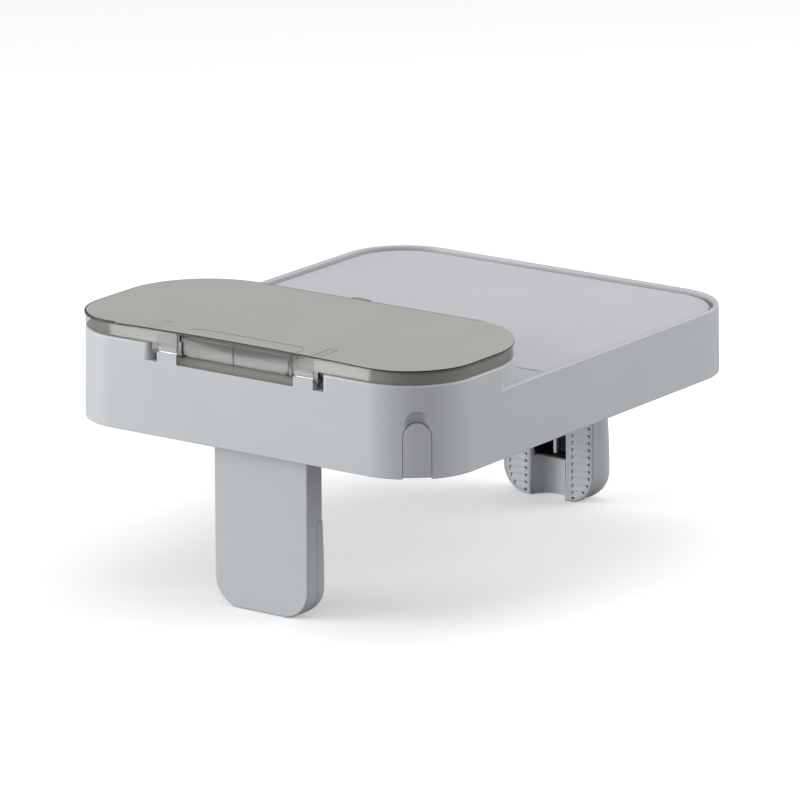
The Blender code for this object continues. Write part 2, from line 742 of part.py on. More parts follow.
def make_lid(clear, rubber, steel):
    outer = BOX_DRAW + LID_INSET
    inner = outer + LID_WALL
    groove = LID_CEILING - RUN
    rings = [at_height(box_plan(outer), LID_BOTTOM), at_height(box_plan(outer), groove)]
    rings.append(at_height(box_plan(outer + LID_GROOVE), groove + LID_GROOVE_SLOPE))
    rings.append(at_height(box_plan(outer + LID_GROOVE), groove + LID_GROOVE_HEIGHT - LID_GROOVE_SLOPE))
    rings.append(at_height(box_plan(outer - LID_LIP), groove + LID_GROOVE_HEIGHT))
    rings += rounded_top(box_plan, outer - LID_LIP, LID_TOP, LID_ROUND)
    lid = loft("box_lid", rings, clear)
    cut(lid, loft("lid_cutter", [at_height(box_plan(inner), z) for z in (LID_BOTTOM - OVER, LID_CEILING)]))

    lid_front = FRONT + outer
    skirt_back = FRONT + inner
    half = KNUCKLE_INNER - RUN
    window_bottom = BOX_HEIGHT - WINDOW_DROP
    window_root = LID_BOTTOM + OVER
    bar_back = skirt_back + WINDOW_BAR_DEPTH
    bar_top = window_bottom + WINDOW_BAR
    window = [(lid_front, window_bottom), (bar_back, window_bottom), (bar_back, bar_top)]
    window += [(skirt_back - GAP, bar_top + RUN), (skirt_back - GAP, window_root), (lid_front, window_root)]
    join(lid, prism("window_tab", window, "x", HINGE_X - half, HINGE_X + half))

    ear = []
    for step in range(11):
        angle = math.pi * (0.25 - step / 8)
        ear.append((HINGE_Y + EAR_RADIUS * math.cos(angle), HINGE_Z + EAR_RADIUS * math.sin(angle)))
    ear += [(lid_front, HINGE_Z + EAR_ROOT), (lid_front, window_root), (skirt_back - GAP, window_root)]
    bores = []
    for name, side, knuckle_near, knuckle_far in hinge_sides():
        near = knuckle_near - side * RUN
        far = knuckle_far + side * RUN
        join(lid, prism("inner_ear_" + name, ear, "x", *sorted((near, near - side * EAR_WIDTH))))
        join(lid, prism("outer_ear_" + name, ear, "x", *sorted((far, far + side * EAR_WIDTH))))
        low, high = sorted((near - side * (EAR_WIDTH + BITE), far + side * (EAR_WIDTH + BITE)))
        radius = HINGE_PIN_RADIUS + PIN_CLEARANCE
        bores.append(((HINGE_Y, HINGE_Z), [(low, radius), (high, radius)]))
        low, high = sorted((near - side * (EAR_WIDTH - GAP), far + side * (EAR_WIDTH - GAP)))
        pin = [((HINGE_Y, HINGE_Z), [(low, HINGE_PIN_RADIUS), (high, HINGE_PIN_RADIUS)])]
        rods("hinge_pin_" + name, "x", pin, steel, 12)

    stiffener = block(
        "lid_stiffener",
        (HINGE_X - half, skirt_back - EDGE, UPSTAND_TOP - BITE),
        (HINGE_X + half, FRONT + STORE_FRONT_WALL - STORE_SKIN - STIFFENER_GAP, LID_CEILING + EDGE),
    )
    rear = BOX_REAR - outer
    width = THUMB_TAB_WIDTH / 2
    rounds = (EDGE, EDGE, THUMB_TAB_ROUND, THUMB_TAB_ROUND)
    tab_left = THUMB_TAB_X - width
    tab = plan(tab_left, tab_left + THUMB_TAB_WIDTH, rear - LID_WALL * 0.8, rear + THUMB_TAB_REACH, rounds, 0.0, 5)
    tab_top = LID_TOP - THUMB_TAB_DROP
    join(lid, stiffener, prism("thumb_tab", tab, "z", tab_top - THUMB_TAB_THICKNESS, tab_top))
    cut(lid, rods("ear_bores", "x", bores, None, 12))

    outside = store_plan(-SEAL_OUTER)
    inside = store_plan(SEAL_INNER)
    seal = loft("lid_seal", [at_height(outside, UPSTAND_TOP + GAP), at_height(outside, LID_CEILING - GAP)], rubber)
    cut(seal, loft("seal_cutter", [at_height(inside, UPSTAND_TOP - OVER), at_height(inside, LID_TOP)]))
    carry(axis_empty("lid_axis", (HINGE_X, HINGE_Y, HINGE_Z)), lid, seal)


def screws(name, centres, seat, length, mat):
    """Pan-head screws driven upward, one object each: the head hangs below its seat."""
    made = []
    for number, centre in enumerate(centres, 1):
        profile = [
            (seat - SCREW_HEAD, SCREW_HEAD_RADIUS * 0.8),
            (seat - SCREW_HEAD * 0.6, SCREW_HEAD_RADIUS),
            (seat, SCREW_HEAD_RADIUS),
            (seat + 0.01, SCREW_RADIUS),
            (seat + length, SCREW_RADIUS),
        ]
        made.append(rods(f"{name}_{number}", "z", [(centre, profile)], mat, 12))
    return made


def make_base(plastic, steel):
    edge = BASE_MARGIN + BASE_EDGE
    rings = [at_height(tray_plan(edge), 0.0), at_height(tray_plan(BASE_MARGIN), BASE_EDGE)]
    base = loft("base_cover", rings + [at_height(tray_plan(BASE_MARGIN), BASE_THICKNESS)], plastic)
    slot_front = PRONG_FRONT - JAW_TRAVEL - 2 * GAP
    for side in (-1, 1):
        x = side * PRONG_X
        low = (x - SLOT_HALF, slot_front, -OVER)
        high = (x + SLOT_HALF, REAR + OVER, BASE_THICKNESS + OVER)
        cut(base, block("slot_left" if side < 0 else "slot_right", low, high))
    seat_low = (-HEAD_WIDTH / 2 - GAP, LEG_OUTER - GAP, -OVER)
    seat_high = (HEAD_WIDTH / 2 + GAP, LEG_INNER + GAP, LEG_SEAT_DEPTH)
    cut(base, block("leg_seat", seat_low, seat_high), hook_space("hook_clearance", HOOK_GAP, HOOK_RECESS))
    centres = base_screw_places()
    rail_centres = [(side * (RAIL_X + RAIL_WALL / 2), y) for side in (-1, 1) for y in rail_screw_ys()]
    sunk = SCREW_HEAD_RADIUS + GAP
    sinks = [(centre, [(-BITE, sunk), (SCREW_HEAD + SCREW_SINK, sunk)]) for centre in centres + rail_centres]
    cut(base, rods("head_sinks", "z", sinks, None, 12))
    run = [(-OVER, SCREW_HOLE), (BASE_THICKNESS + BITE, SCREW_HOLE)]
    holes = [(centre, run) for centre in centres + rail_centres + leg_screw_places()]
    cut(base, rods("screw_holes", "z", holes, None, 10))
    screws("base_screw", centres, SCREW_HEAD, BASE_SCREW_LENGTH, steel)
    screws("rail_screw", rail_centres, SCREW_HEAD, RAIL_SCREW_LENGTH, steel)


def rail_span():
    return CARRIAGE_REAR - CARRIAGE_LENGTH - JAW_TRAVEL - RAIL_RUN_OUT, REAR - WALL - RAIL_REAR_GAP


def rail_screw_ys():
    front, rear = rail_span()
    return [front + RAIL_SCREW_END, rear - RAIL_SCREW_END]


def make_rails(mat):
    front, rear = rail_span()
    bottom = BASE_THICKNESS + GAP
    lip = CARRIAGE_TOP + RUN
    top = lip + RAIL_LIP_THICKNESS
    for side in (-1, 1):
        outer = RAIL_X + RAIL_WALL
        inner = RAIL_X - RAIL_LIP
        shape = [(RAIL_X, bottom), (outer, bottom), (outer, top), (inner, top), (inner, lip), (RAIL_X, lip)]
        outline = [(side * x, z) for x, z in shape]
        rail = prism("guide_rail_left" if side < 0 else "guide_rail_right", outline, "y", front, rear, mat)
        x = side * (RAIL_X + RAIL_WALL / 2)
        runs = [((x, y), [(bottom - BITE, SCREW_HOLE), (bottom + RAIL_PILOT, SCREW_HOLE)]) for y in rail_screw_ys()]
        cut(rail, rods(rail.name + "_pilots", "z", runs, None, 8))


def outer_rings(front_at, back_at, top, front_round, rear_round):
    """Sections of a clamp head's outside from its foot up to top."""
    rings = []
    for z in head_levels(top):
        half = head_half_width(z + TINY)
        rings.append(section(half, front_at(z), back_at(z), front_round, rear_round, z))
    return rings


def inner_rings(front_at, back_at, front_round, rear_round):
    """Sections of the hollow inside a clamp head, up to its roof."""
    rings = []
    for z in head_levels(ROOF_UNDERSIDE, HEAD_WALL):
        half = head_half_width(z, HEAD_WALL)
        rings.append(section(half, front_at(z), back_at(z), front_round, rear_round, z))
    return rings


def screw_holes(name, places):
    """Clearance holes through a clamp head's roof."""
    run = [(ROOF_UNDERSIDE - BITE, SCREW_HOLE), (BITE, SCREW_HOLE)]
    return rods(name, "z", [(place, run) for place in places], None, 10)


def make_leg(plastic, rubber, steel):
    """The fixed front leg: shell, grip face, pads and screws."""

    def inner_at(z):
        return LEG_INNER - LEG_STEP + swell(z, LEG_BULGE) - foot(z, LEG_FOOT)

    def outer_at(_z):
        return LEG_OUTER

    def shell_back_at(z):
        return LEG_INNER - foot(z, LEG_SHELL_FOOT)

    def hollow_front_at(_z):
        return LEG_OUTER + HEAD_WALL

    def hollow_back_at(z):
        return LEG_INNER - HEAD_WALL - foot(z, LEG_HOLLOW_FOOT)

    def joint_at(_z):
        return LEG_JOINT + GAP

    face_top = -LEG_FACE_TOP
    shell = loft("leg_shell", outer_rings(outer_at, shell_back_at, LEG_TOP, RIM_ROUND, LID_ROUND), plastic)
    seat_low = (-HEAD_WIDTH, LEG_JOINT, -HEAD_DROP - OVER)
    seat = block("leg_face_seat", seat_low, (HEAD_WIDTH, LEG_INNER + LEG_BULGE, face_top + GAP))
    cut(shell, seat, loft("leg_hollow", inner_rings(hollow_front_at, hollow_back_at, LID_ROUND, LID_ROUND)))

    face = loft("leg_face", outer_rings(joint_at, inner_at, face_top, LID_ROUND, RIM_ROUND), plastic)
    fullest = LEG_INNER - LEG_STEP + LEG_BULGE
    cut(face, channel_cutter("leg_channel", fullest, 1, LEG_CHANNEL_DEPTH, -HEAD_DROP - OVER, face_top + OVER))
    for name, side in (("leg_pad_left", -1), ("leg_pad_right", 1)):
        cut(face, pad_recess(name + "_recess", side, inner_at, 1))
        grip_pad(name, side, inner_at, 1, rubber)

    cut(shell, screw_holes("leg_screw_holes", leg_screw_places()))
    screws("leg_screw", leg_screw_places(), ROOF_UNDERSIDE - SCREW_SINK, LEG_SCREW_LENGTH, steel)


def make_jaw(plastic, rubber, steel, dark):
    """The sliding jaw: carriage, shell, face, pads, liner, screws and the release lever."""

    def face_at(_z):
        return JAW_INNER

    def joint_at(_z):
        return JAW_JOINT + GAP

    def back_at(z):
        return JAW_INNER + JAW_THICKNESS + swell(z, JAW_BULGE) - foot(z, JAW_FOOT)

    def hollow_back_at(z):
        return back_at(z) - HEAD_WALL

    shell = loft("jaw_shell", outer_rings(joint_at, back_at, HEAD_TOP, EDGE, JAW_BACK_ROUND), plastic)
    half = CHANNEL_WIDTH / 2
    pipe_half = half + JAW_PIPE_WALL
    pipe_back = JAW_INNER + JAW_CHANNEL_DEPTH + JAW_PIPE_BACK
    seat_low = (-pipe_half - GAP, JAW_INNER, -HEAD_DROP - OVER)
    seat_high = (pipe_half + GAP, pipe_back + GAP, -HEAD_DROP + HEAD_RADIUS)
    brake_half = BRAKE_WIDTH / 2 + BRAKE_OPENING
    brake_back = JAW_INNER + LEVER_HEAD_SETBACK + BRAKE_LENGTH + BRAKE_OPENING
    cut(
        shell,
        loft("jaw_hollow", inner_rings(face_at, hollow_back_at, EDGE, JAW_BACK_ROUND - HEAD_WALL)),
        block("jaw_pipe_seat", seat_low, seat_high),
        block("brake_opening", (-brake_half, JAW_INNER, -LEVER_PIVOT_DROP), (brake_half, brake_back, OVER)),
    )
    prong_y = PRONG_FRONT + PRONG_LENGTH / 2
    places = [(-PRONG_X, prong_y), (PRONG_X, prong_y)]
    cut(shell, screw_holes("jaw_screw_holes", places))
    fasteners = screws("jaw_screw", places, ROOF_UNDERSIDE - SCREW_SINK, JAW_SCREW_LENGTH, steel)

    rings = [coved_section(head_half_width(z + TINY), z) for z in head_levels(HEAD_TOP)]
    face = loft("jaw_face", rings, plastic)
    pipe_top = -CHANNEL_TOP + JAW_PIPE_BACK
    pipe = block("jaw_pipe", (-pipe_half, JAW_JOINT - BITE, -HEAD_DROP + FLUSH), (pipe_half, pipe_back, pipe_top))
    window = block("jaw_window", (-half, JAW_INNER - OVER, -CHANNEL_TOP), (half, pipe_back + OVER, OVER))
    channel = channel_cutter("jaw_channel", JAW_INNER, -1, JAW_CHANNEL_DEPTH, -HEAD_DROP - OVER, pipe_top + OVER)
    join(face, pipe)
    cut(face, window, channel)
    pads = []
    for name, side in (("jaw_pad_left", -1), ("jaw_pad_right", 1)):
        cut(face, pad_recess(name + "_recess", side, face_at, -1))
        pads.append(grip_pad(name, side, face_at, -1, rubber))

    liner_half = half + LINER_SIDE
    liner = make_liner(dark, liner_half, pipe_top + RUN, hollow_back_at)
    carriage = make_carriage(dark, prong_y)
    reach = liner_half - RUN
    run = [(-reach, LEVER_PIN_RADIUS), (reach, LEVER_PIN_RADIUS)]
    pin = rods("lever_pin", "x", [((PIVOT_Y, PIVOT_Z), run)], steel, 12)
    jaw_axis = axis_empty("jaw_slide_axis", (0.0, JAW_INNER, 0.0))
    carry(jaw_axis, shell, face, *pads, liner, carriage, *fasteners, pin)
    lever = make_lever(plastic, rubber)
    carry(axis_empty("lever_axis", (0.0, PIVOT_Y, PIVOT_Z)), *lever)


def coved_section(half, z):
    """A level slice of the jaw's face plate: a thin front rim with a hollow groove behind it."""
    side = [(0.8, 0.0), (0.25, 0.25), (0.0, 0.8), (0.0, 1.3), (0.9, 1.8), (1.25, 2.6), (1.25, JAW_FACE_THICKNESS)]
    right = [(half - inset, JAW_INNER + back) for inset, back in side]
    left = [(-x, y) for x, y in reversed(right)]
    return at_height(right + left, z)


def make_liner(mat, half, bottom, back_at):
    """The dark box behind the window, open at its front and top. Its back follows the shell's bulge."""
    top = -LINER_DROP
    front = JAW_JOINT + GAP
    upper = back_at(top) - LINER_BACK_GAP
    lower = back_at(bottom) - LINER_BACK_GAP
    liner = prism("jaw_liner", [(front, bottom), (lower, bottom), (upper, top), (front, top)], "x", -half, half, mat)
    floor = bottom + LINER_WALL
    upper -= LINER_WALL
    hollow = [(JAW_INNER, floor), (lower - LINER_WALL, floor), (upper, top), (upper, OVER), (JAW_INNER, OVER)]
    cut(liner, prism("liner_cutter", hollow, "x", LINER_WALL - half, half - LINER_WALL))
    bore = LEVER_PIN_RADIUS + PIN_CLEARANCE
    run = [(-half - OVER, bore), (half + OVER, bore)]
    cut(liner, rods("liner_bores", "x", [((PIVOT_Y, PIVOT_Z), run)], None, 12))
    return liner


def make_carriage(mat, prong_y):
    half = CARRIAGE_WIDTH / 2
    outline = plan(-half, half, CARRIAGE_REAR - CARRIAGE_LENGTH, CARRIAGE_REAR, (CARRIAGE_ROUND,) * 4, 0.0, 3)
    carriage = prism("jaw_carriage", outline, "z", CARRIAGE_BOTTOM, CARRIAGE_TOP, mat)
    spine_half = half - SPINE_END
    spine_low = (-spine_half, prong_y - SPINE_WIDTH / 2, CARRIAGE_TOP - BITE)
    spine_high = (spine_half, prong_y + SPINE_WIDTH / 2, CARRIAGE_TOP + SPINE_HEIGHT)
    join(carriage, block("carriage_spine", spine_low, spine_high))
    pilots = []
    for name, side in (("prong_left", -1), ("prong_right", 1)):
        x = side * PRONG_X
        low = (x - PRONG_WIDTH / 2, PRONG_FRONT, HEAD_TOP + GAP)
        high = (x + PRONG_WIDTH / 2, PRONG_FRONT + PRONG_LENGTH, CARRIAGE_BOTTOM + BITE)
        join(carriage, block(name, low, high))
        pilots.append(((x, prong_y), [(-OVER, SCREW_HOLE), (CARRIAGE_TOP - BITE, SCREW_HOLE)]))
    cut(carriage, rods("prong_pilots", "z", pilots, None, 10))
    return carriage


def make_lever(plastic, rubber):
    """The upright release bar, which rocks on its pin and lowers the brake pad."""
    front = JAW_INNER + LEVER_DEPTH
    back = front + LEVER_THICKNESS
    head_front = JAW_INNER + LEVER_HEAD_SETBACK
    pad_top = -BRAKE_RUN
    head_top = pad_top - BRAKE_THICKNESS - GAP
    arm_top = head_top - LEVER_ARM * 2 / 3
    shape = [(front, -LEVER_BOTTOM), (back, -LEVER_BOTTOM), (back, PIVOT_Z - LEVER_WEB)]
    for step in range(11):
        angle = math.radians(-70.0 + 17.0 * step)
        shape.append((PIVOT_Y + LEVER_HUB * math.cos(angle), PIVOT_Z + LEVER_HUB * math.sin(angle)))
    shape += [(head_front, arm_top), (head_front, arm_top - LEVER_ARM), (front, PIVOT_Z - LEVER_WEB / 4)]
    lever = prism("release_lever", shape, "x", -LEVER_WIDTH / 2, LEVER_WIDTH / 2, plastic)
    head_low = (-BRAKE_WIDTH / 2, head_front, arm_top - LEVER_ARM / 2)
    join(lever, block("lever_head", head_low, (BRAKE_WIDTH / 2, head_front + BRAKE_LENGTH, head_top)))
    bore = LEVER_PIN_RADIUS + PIN_CLEARANCE
    cut(lever, rods("lever_bore", "x", [((PIVOT_Y, PIVOT_Z), [(-BRAKE_WIDTH, bore), (BRAKE_WIDTH, bore)])], None, 12))
    low = (-BRAKE_WIDTH / 2, head_front, pad_top - BRAKE_THICKNESS)
    return lever, block("brake_pad", low, (BRAKE_WIDTH / 2, head_front + BRAKE_LENGTH, pad_top), rubber)


def main():
    for old in list(bpy.data.objects):
        bpy.data.objects.remove(old, do_unlink=True)
    shell = material("moulded_grey", (0.46, 0.48, 0.50), 0.45)
    mat_grey = material("mat_lilac_grey", (0.55, 0.55, 0.59), 0.6)
    clear = material("smoke_clear", (0.42, 0.43, 0.39), 0.25, 0.0, 0.5)
    rubber = material("grip_rubber", (0.52, 0.54, 0.55), 0.7)
    seal_rubber = material("seal_rubber", (0.30, 0.31, 0.30), 0.7)
    steel = material("stainless_steel", (0.60, 0.60, 0.60), 0.3, 1.0)
    dark = material("dark_inner_plastic", (0.03, 0.03, 0.035), 0.5)

    make_tray_body(shell)
    make_mat(mat_grey)
    make_lid(clear, seal_rubber, steel)
    make_hook(shell, steel)
    make_base(shell, steel)
    make_rails(dark)
    make_leg(shell, rubber, steel)
    make_jaw(shell, rubber, steel, dark)


main()
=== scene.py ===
"""Hot tub tray: the looks of the tray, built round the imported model.

The sections follow the tray as it is put together. Sizes are in millimetres and become metres when a mesh is
made. The dry box is at the front, -Y, and the underside that rests on the spa wall is at Z = 0.
"""

import json
import math

import bmesh
import bpy
from mathutils import Matrix, Vector


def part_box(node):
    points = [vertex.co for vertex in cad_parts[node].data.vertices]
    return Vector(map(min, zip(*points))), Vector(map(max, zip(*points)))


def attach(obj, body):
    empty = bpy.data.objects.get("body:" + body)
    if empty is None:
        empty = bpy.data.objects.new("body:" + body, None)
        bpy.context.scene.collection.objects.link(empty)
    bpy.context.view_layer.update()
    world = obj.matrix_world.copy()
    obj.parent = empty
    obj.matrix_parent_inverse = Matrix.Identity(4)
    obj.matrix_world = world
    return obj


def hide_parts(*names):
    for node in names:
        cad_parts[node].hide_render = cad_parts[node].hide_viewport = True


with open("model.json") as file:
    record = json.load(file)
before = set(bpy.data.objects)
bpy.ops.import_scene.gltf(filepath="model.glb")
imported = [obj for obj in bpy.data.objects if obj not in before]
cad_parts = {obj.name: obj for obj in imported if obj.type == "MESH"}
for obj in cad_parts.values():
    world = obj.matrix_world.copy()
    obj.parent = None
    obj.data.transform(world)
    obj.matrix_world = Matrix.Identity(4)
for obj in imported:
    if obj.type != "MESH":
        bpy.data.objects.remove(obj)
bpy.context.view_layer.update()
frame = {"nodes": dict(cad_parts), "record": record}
node = frame["nodes"]

# Camera: a long lens a little above the tray, turned to its front right corner. The place and the
# angles come from a fit of the tray's outline in the photograph, 800 by 800 pixels.
MM = 0.001
azimuth = math.radians(35.434335)
elevation = math.radians(15.134671)
roll = math.radians(0.199437)
distance = 4275.305
aim = Vector((0.0, 0.0, 20.0))
aim_right = 4.8254
aim_up = 24.9719
back = Vector((
    math.sin(azimuth) * math.cos(elevation),
    -math.cos(azimuth) * math.cos(elevation),
    math.sin(elevation),
))
level_right = Vector((math.cos(azimuth), math.sin(azimuth), 0.0))
level_up = back.cross(level_right)
right = math.cos(roll) * level_right - math.sin(roll) * level_up
up = math.sin(roll) * level_right + math.cos(roll) * level_up
camera = bpy.data.objects.new("photo_camera", bpy.data.cameras.new("photo_camera"))
camera.data.sensor_width = 36.0
camera.data.lens = 307.052
camera.data.clip_end = 100.0
camera.matrix_world = Matrix((right, up, back)).transposed().to_4x4()
camera.location = (aim - aim_right * level_right - aim_up * level_up + distance * back) * MM
bpy.context.scene.collection.objects.link(camera)
bpy.context.scene.camera = camera
bpy.context.scene.view_settings.view_transform = "Standard"


# Studio: a white floor under the clamp's feet, a white surround and three soft lamps. The low key box at the
# front left lights the front wall, one lamp lies over the deck, and a weaker one at the rear right lights the
# jaw.
def linear(hex_colour):
    """A colour written as sRGB hex, turned to the linear numbers that a shader takes."""
    made = []
    for start in (1, 3, 5):
        value = int(hex_colour[start : start + 2], 16) / 255
        made.append(value / 12.92 if value <= 0.04045 else ((value + 0.055) / 1.055) ** 2.4)
    return (*made, 1.0)


def add(tree, kind, settings=None, **inputs):
    """Adds a shader node. settings are its properties. An input, by name or as _number, is a value, or a
    node or one of its outputs to link."""
    made = tree.nodes.new(kind)
    for name, value in (settings or {}).items():
        setattr(made, name, value)
    for name, value in inputs.items():
        socket = made.inputs[int(name[1:])] if name[0] == "_" else made.inputs[name.replace("_", " ")]
        if isinstance(value, bpy.types.Node):
            value = value.outputs[0]
        if isinstance(value, bpy.types.NodeSocket):
            tree.links.new(value, socket)
        else:
            socket.default_value = value
    return made


def new_material(name):
    """An empty material and its node tree."""
    made = bpy.data.materials.new(name)
    made.use_nodes = True
    made.node_tree.nodes.clear()
    return made, made.node_tree


def finish_material(tree, shader):
    """Gives a material's last shader to its surface."""
    add(tree, "ShaderNodeOutputMaterial", Surface=shader)


floor_z = -106.6
floor_mesh = bpy.data.meshes.new("studio_floor")
bm = bmesh.new()
bmesh.ops.create_grid(bm, x_segments=1, y_segments=1, size=20.0)
bmesh.ops.translate(bm, verts=bm.verts, vec=(0.0, 0.0, floor_z * MM))
bm.to_mesh(floor_mesh)
bm.free()
floor = bpy.data.objects.new("studio_floor", floor_mesh)
bpy.context.scene.collection.objects.link(floor)

# The camera sees a floor that glows a little, as pale as the photograph's ground. To every other ray it is
# a duller grey, so that the tray's lower sides keep their shading.
floor_paint, tree = new_material("white_studio_floor")
lit = add(tree, "ShaderNodeBsdfDiffuse", Color=linear("#FAFAFA"))
glow = add(tree, "ShaderNodeEmission", Color=linear("#FFFFFF"), Strength=0.26)
seen = add(tree, "ShaderNodeAddShader", _0=lit, _1=glow)
dim = add(tree, "ShaderNodeBsdfDiffuse", Color=linear("#A8A8A8"))
path = add(tree, "ShaderNodeLightPath")
finish_material(tree, add(tree, "ShaderNodeMixShader", _0=path.outputs["Is Camera Ray"], _1=dim, _2=seen))
floor.data.materials.append(floor_paint)

# The surround is plain white to the camera, also through the clear lid, and softer as a light.
world = bpy.data.worlds.new("white_surround")
world.use_nodes = True
tree = world.node_tree
tree.nodes.clear()
path = add(tree, "ShaderNodeLightPath")
straight = add(
    tree, "ShaderNodeMath", {"operation": "MAXIMUM"},
    _0=path.outputs["Is Camera Ray"], _1=path.outputs["Is Transmission Ray"],
)
soft = add(tree, "ShaderNodeBackground", Color=linear("#F8F8F9"), Strength=0.54)
white = add(tree, "ShaderNodeBackground", Color=linear("#FFFFFF"), Strength=1.0)
chosen = add(tree, "ShaderNodeMixShader", _0=straight, _1=soft, _2=white)
add(tree, "ShaderNodeOutputWorld", Surface=chosen)
bpy.context.scene.world = world


def soft_lamp(name, place, width, height, power):
    """A soft box, in metres and watts, that faces the middle of the tray."""
    data = bpy.data.lights.new(name, "AREA")
    data.shape = "RECTANGLE"
    data.size = width
    data.size_y = height
    data.energy = power
    lamp = bpy.data.objects.new(name, data)
    lamp.location = place
    lamp.rotation_euler = (-Vector(place)).to_track_quat("-Z", "Y").to_euler()
    bpy.context.scene.collection.objects.link(lamp)


soft_lamp("key_soft_box", (-1.6, -1.5, 0.35), 1.5, 1.0, 41.0)
soft_lamp("top_soft_box", (0.1, 0.2, 1.9), 1.8, 1.8, 9.0)
soft_lamp("right_soft_box", (1.5, 1.3, 0.8), 1.5, 1.2, 20.0)


# Tray shell: one light grey polypropylene moulding, the skirt, the serving deck and the raised dry box in
# one piece. It leaves the mould with a fine matt grain, and its edges are broken.
bodies = frame["record"]["behaviour"]["bodies"]
body_of = {member: body for body, members in bodies.items() for member in members}


def rounded_face(points, radii, steps=20):
    """A flat face through the points, its corners rounded by their radii."""
    bm = bmesh.new()
    corners = [bm.verts.new(point) for point in points]
    bm.faces.new(corners)
    for corner, radius in zip(corners, radii):
        if radius:
            bmesh.ops.bevel(
                bm, geom=[corner], offset=radius, offset_type="OFFSET", segments=steps, profile=0.5,
                affect="VERTICES", material=-1,
            )
    bm.normal_update()
    return bm, bm.faces[:][0]


def carry(bm, face, steps):
    """Carries a face on by steps of (drawn in, moved out), in mm, with a new wall at each."""
    for drawn, moved in steps:
        bmesh.ops.inset_region(
            bm, faces=[face], thickness=drawn, depth=moved, use_boundary=True, use_even_offset=True
        )


def closed(bm):
    """Closes a shape's open end and returns the new face, with every face turned outwards."""
    ends = [edge for edge in bm.edges if edge.is_boundary]
    face = bmesh.ops.holes_fill(bm, edges=ends)["faces"][0]
    bmesh.ops.recalc_face_normals(bm, faces=bm.faces)
    return face


def quarter(radius, mouth=False, steps=6):
    """Steps that turn a wall over its end in a quarter round, or turn an open mouth down into its wall."""
    places = []
    for step in range(steps + 1):
        angle = math.pi / 2 * step / steps
        near = radius * (1.0 - math.cos(angle))
        far = radius * math.sin(angle)
        places.append((far, near) if mouth else (near, far))
    return [(b[0] - a[0], b[1] - a[1]) for a, b in zip(places, places[1:])]


def as_piece(bm, name):
    """Makes a piece of a shape that was drawn in mm."""
    bmesh.ops.scale(bm, vec=(MM, MM, MM), verts=bm.verts)
    mesh = bpy.data.meshes.new(name)
    bm.to_mesh(mesh)
    bm.free()
    piece = bpy.data.objects.new(name, mesh)
    bpy.context.scene.collection.objects.link(piece)
    return piece


def carve(piece, *tools, operation="DIFFERENCE"):
    """Cuts each tool out of a piece, joins it on, or keeps what both fill, and takes the tool away."""
    for tool in tools:
        cut = piece.modifiers.new("carve", "BOOLEAN")
        cut.operation = operation
        cut.solver = "EXACT"
        cut.object = tool
        made = bpy.data.meshes.new_from_object(piece.evaluated_get(bpy.context.evaluated_depsgraph_get()))
        piece.modifiers.clear()
        old = piece.data
        piece.data = made
        bpy.data.meshes.remove(old)
        bpy.data.objects.remove(tool)


def block(low, high):
    """A plain block between two opposite corners."""
    bm = bmesh.new()
    bmesh.ops.create_cube(bm, size=1.0)
    bmesh.ops.scale(bm, vec=[b - a for a, b in zip(low, high)], verts=bm.verts)
    bmesh.ops.translate(bm, vec=[(a + b) / 2 for a, b in zip(low, high)], verts=bm.verts)
    return as_piece(bm, "block")


def rods(axis, places, radius, low, high, sides=32, name="rods"):
    """Round rods side by side along one axis. places are their centres in the plane across it."""
    bm = bmesh.new()
    turn = {
        "x": Matrix.Rotation(math.pi / 2, 3, "Y"),
        "y": Matrix.Rotation(-math.pi / 2, 3, "X"),
        "z": Matrix.Identity(3),
    }[axis]
    middle = (low + high) / 2
    for a, b in places:
        made = bmesh.ops.create_cone(
            bm, cap_ends=True, segments=sides, radius1=radius, radius2=radius, depth=high - low
        )
        bmesh.ops.rotate(bm, cent=(0, 0, 0), matrix=turn, verts=made["verts"])
        place = {"x": (middle, a, b), "y": (a, middle, b), "z": (a, b, middle)}[axis]
        bmesh.ops.translate(bm, vec=place, verts=made["verts"])
    return as_piece(bm, name)


def pull_out(bm, face, pull):
    """Pulls a solid out of a flat face."""
    pulled = bmesh.ops.extrude_face_region(bm, geom=[face])["geom"]
    moved = [item for item in pulled if isinstance(item, bmesh.types.BMVert)]
    bmesh.ops.translate(bm, vec=pull, verts=moved)


def prism(points, radii, pull, name="prism", steps=8):
    """A solid pulled out of a flat outline with rounded corners."""
    bm, face = rounded_face(points, radii, steps)
    pull_out(bm, face, pull)
    bmesh.ops.recalc_face_normals(bm, faces=bm.faces)
    return as_piece(bm, name)


def finish(piece, edge=0.25):
    """Shades a piece smooth between its hard edges, those over 36 degrees, and breaks those edges."""
    hard = math.radians(36.0)
    bm = bmesh.new()
    bm.from_mesh(piece.data)
    bmesh.ops.remove_doubles(bm, verts=bm.verts, dist=5e-7)
    bmesh.ops.dissolve_degenerate(bm, edges=bm.edges, dist=2e-7)
    bm.to_mesh(piece.data)
    bm.free()
    piece.data.shade_smooth()
    piece.data.set_sharp_from_angle(angle=hard)
    if edge:
        broken = piece.modifiers.new("broken edges", "BEVEL")
        broken.width = edge * MM
        broken.segments = 2
        broken.limit_method = "ANGLE"
        broken.angle_limit = hard
    even = piece.modifiers.new("even shading", "WEIGHTED_NORMAL")
    even.keep_sharp = True


def stands_for(piece, name, *materials):
    """Puts a finished piece in the place of its CAD node, on the same body and with its finish."""
    for material in materials:
        piece.data.materials.append(material)
    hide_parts(name)
    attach(piece, body_of[name])


def noise(tree, place, scale, detail):
    """A soft noise over the piece."""
    return add(tree, "ShaderNodeTexNoise", Vector=place, Scale=scale, Detail=detail)


def spread(tree, values, low, high):
    """Stretches a noise, most of which lies about its middle, from low to high."""
    return add(
        tree, "ShaderNodeMapRange", Value=values, From_Min=0.3, From_Max=0.7, To_Min=low, To_Max=high
    )


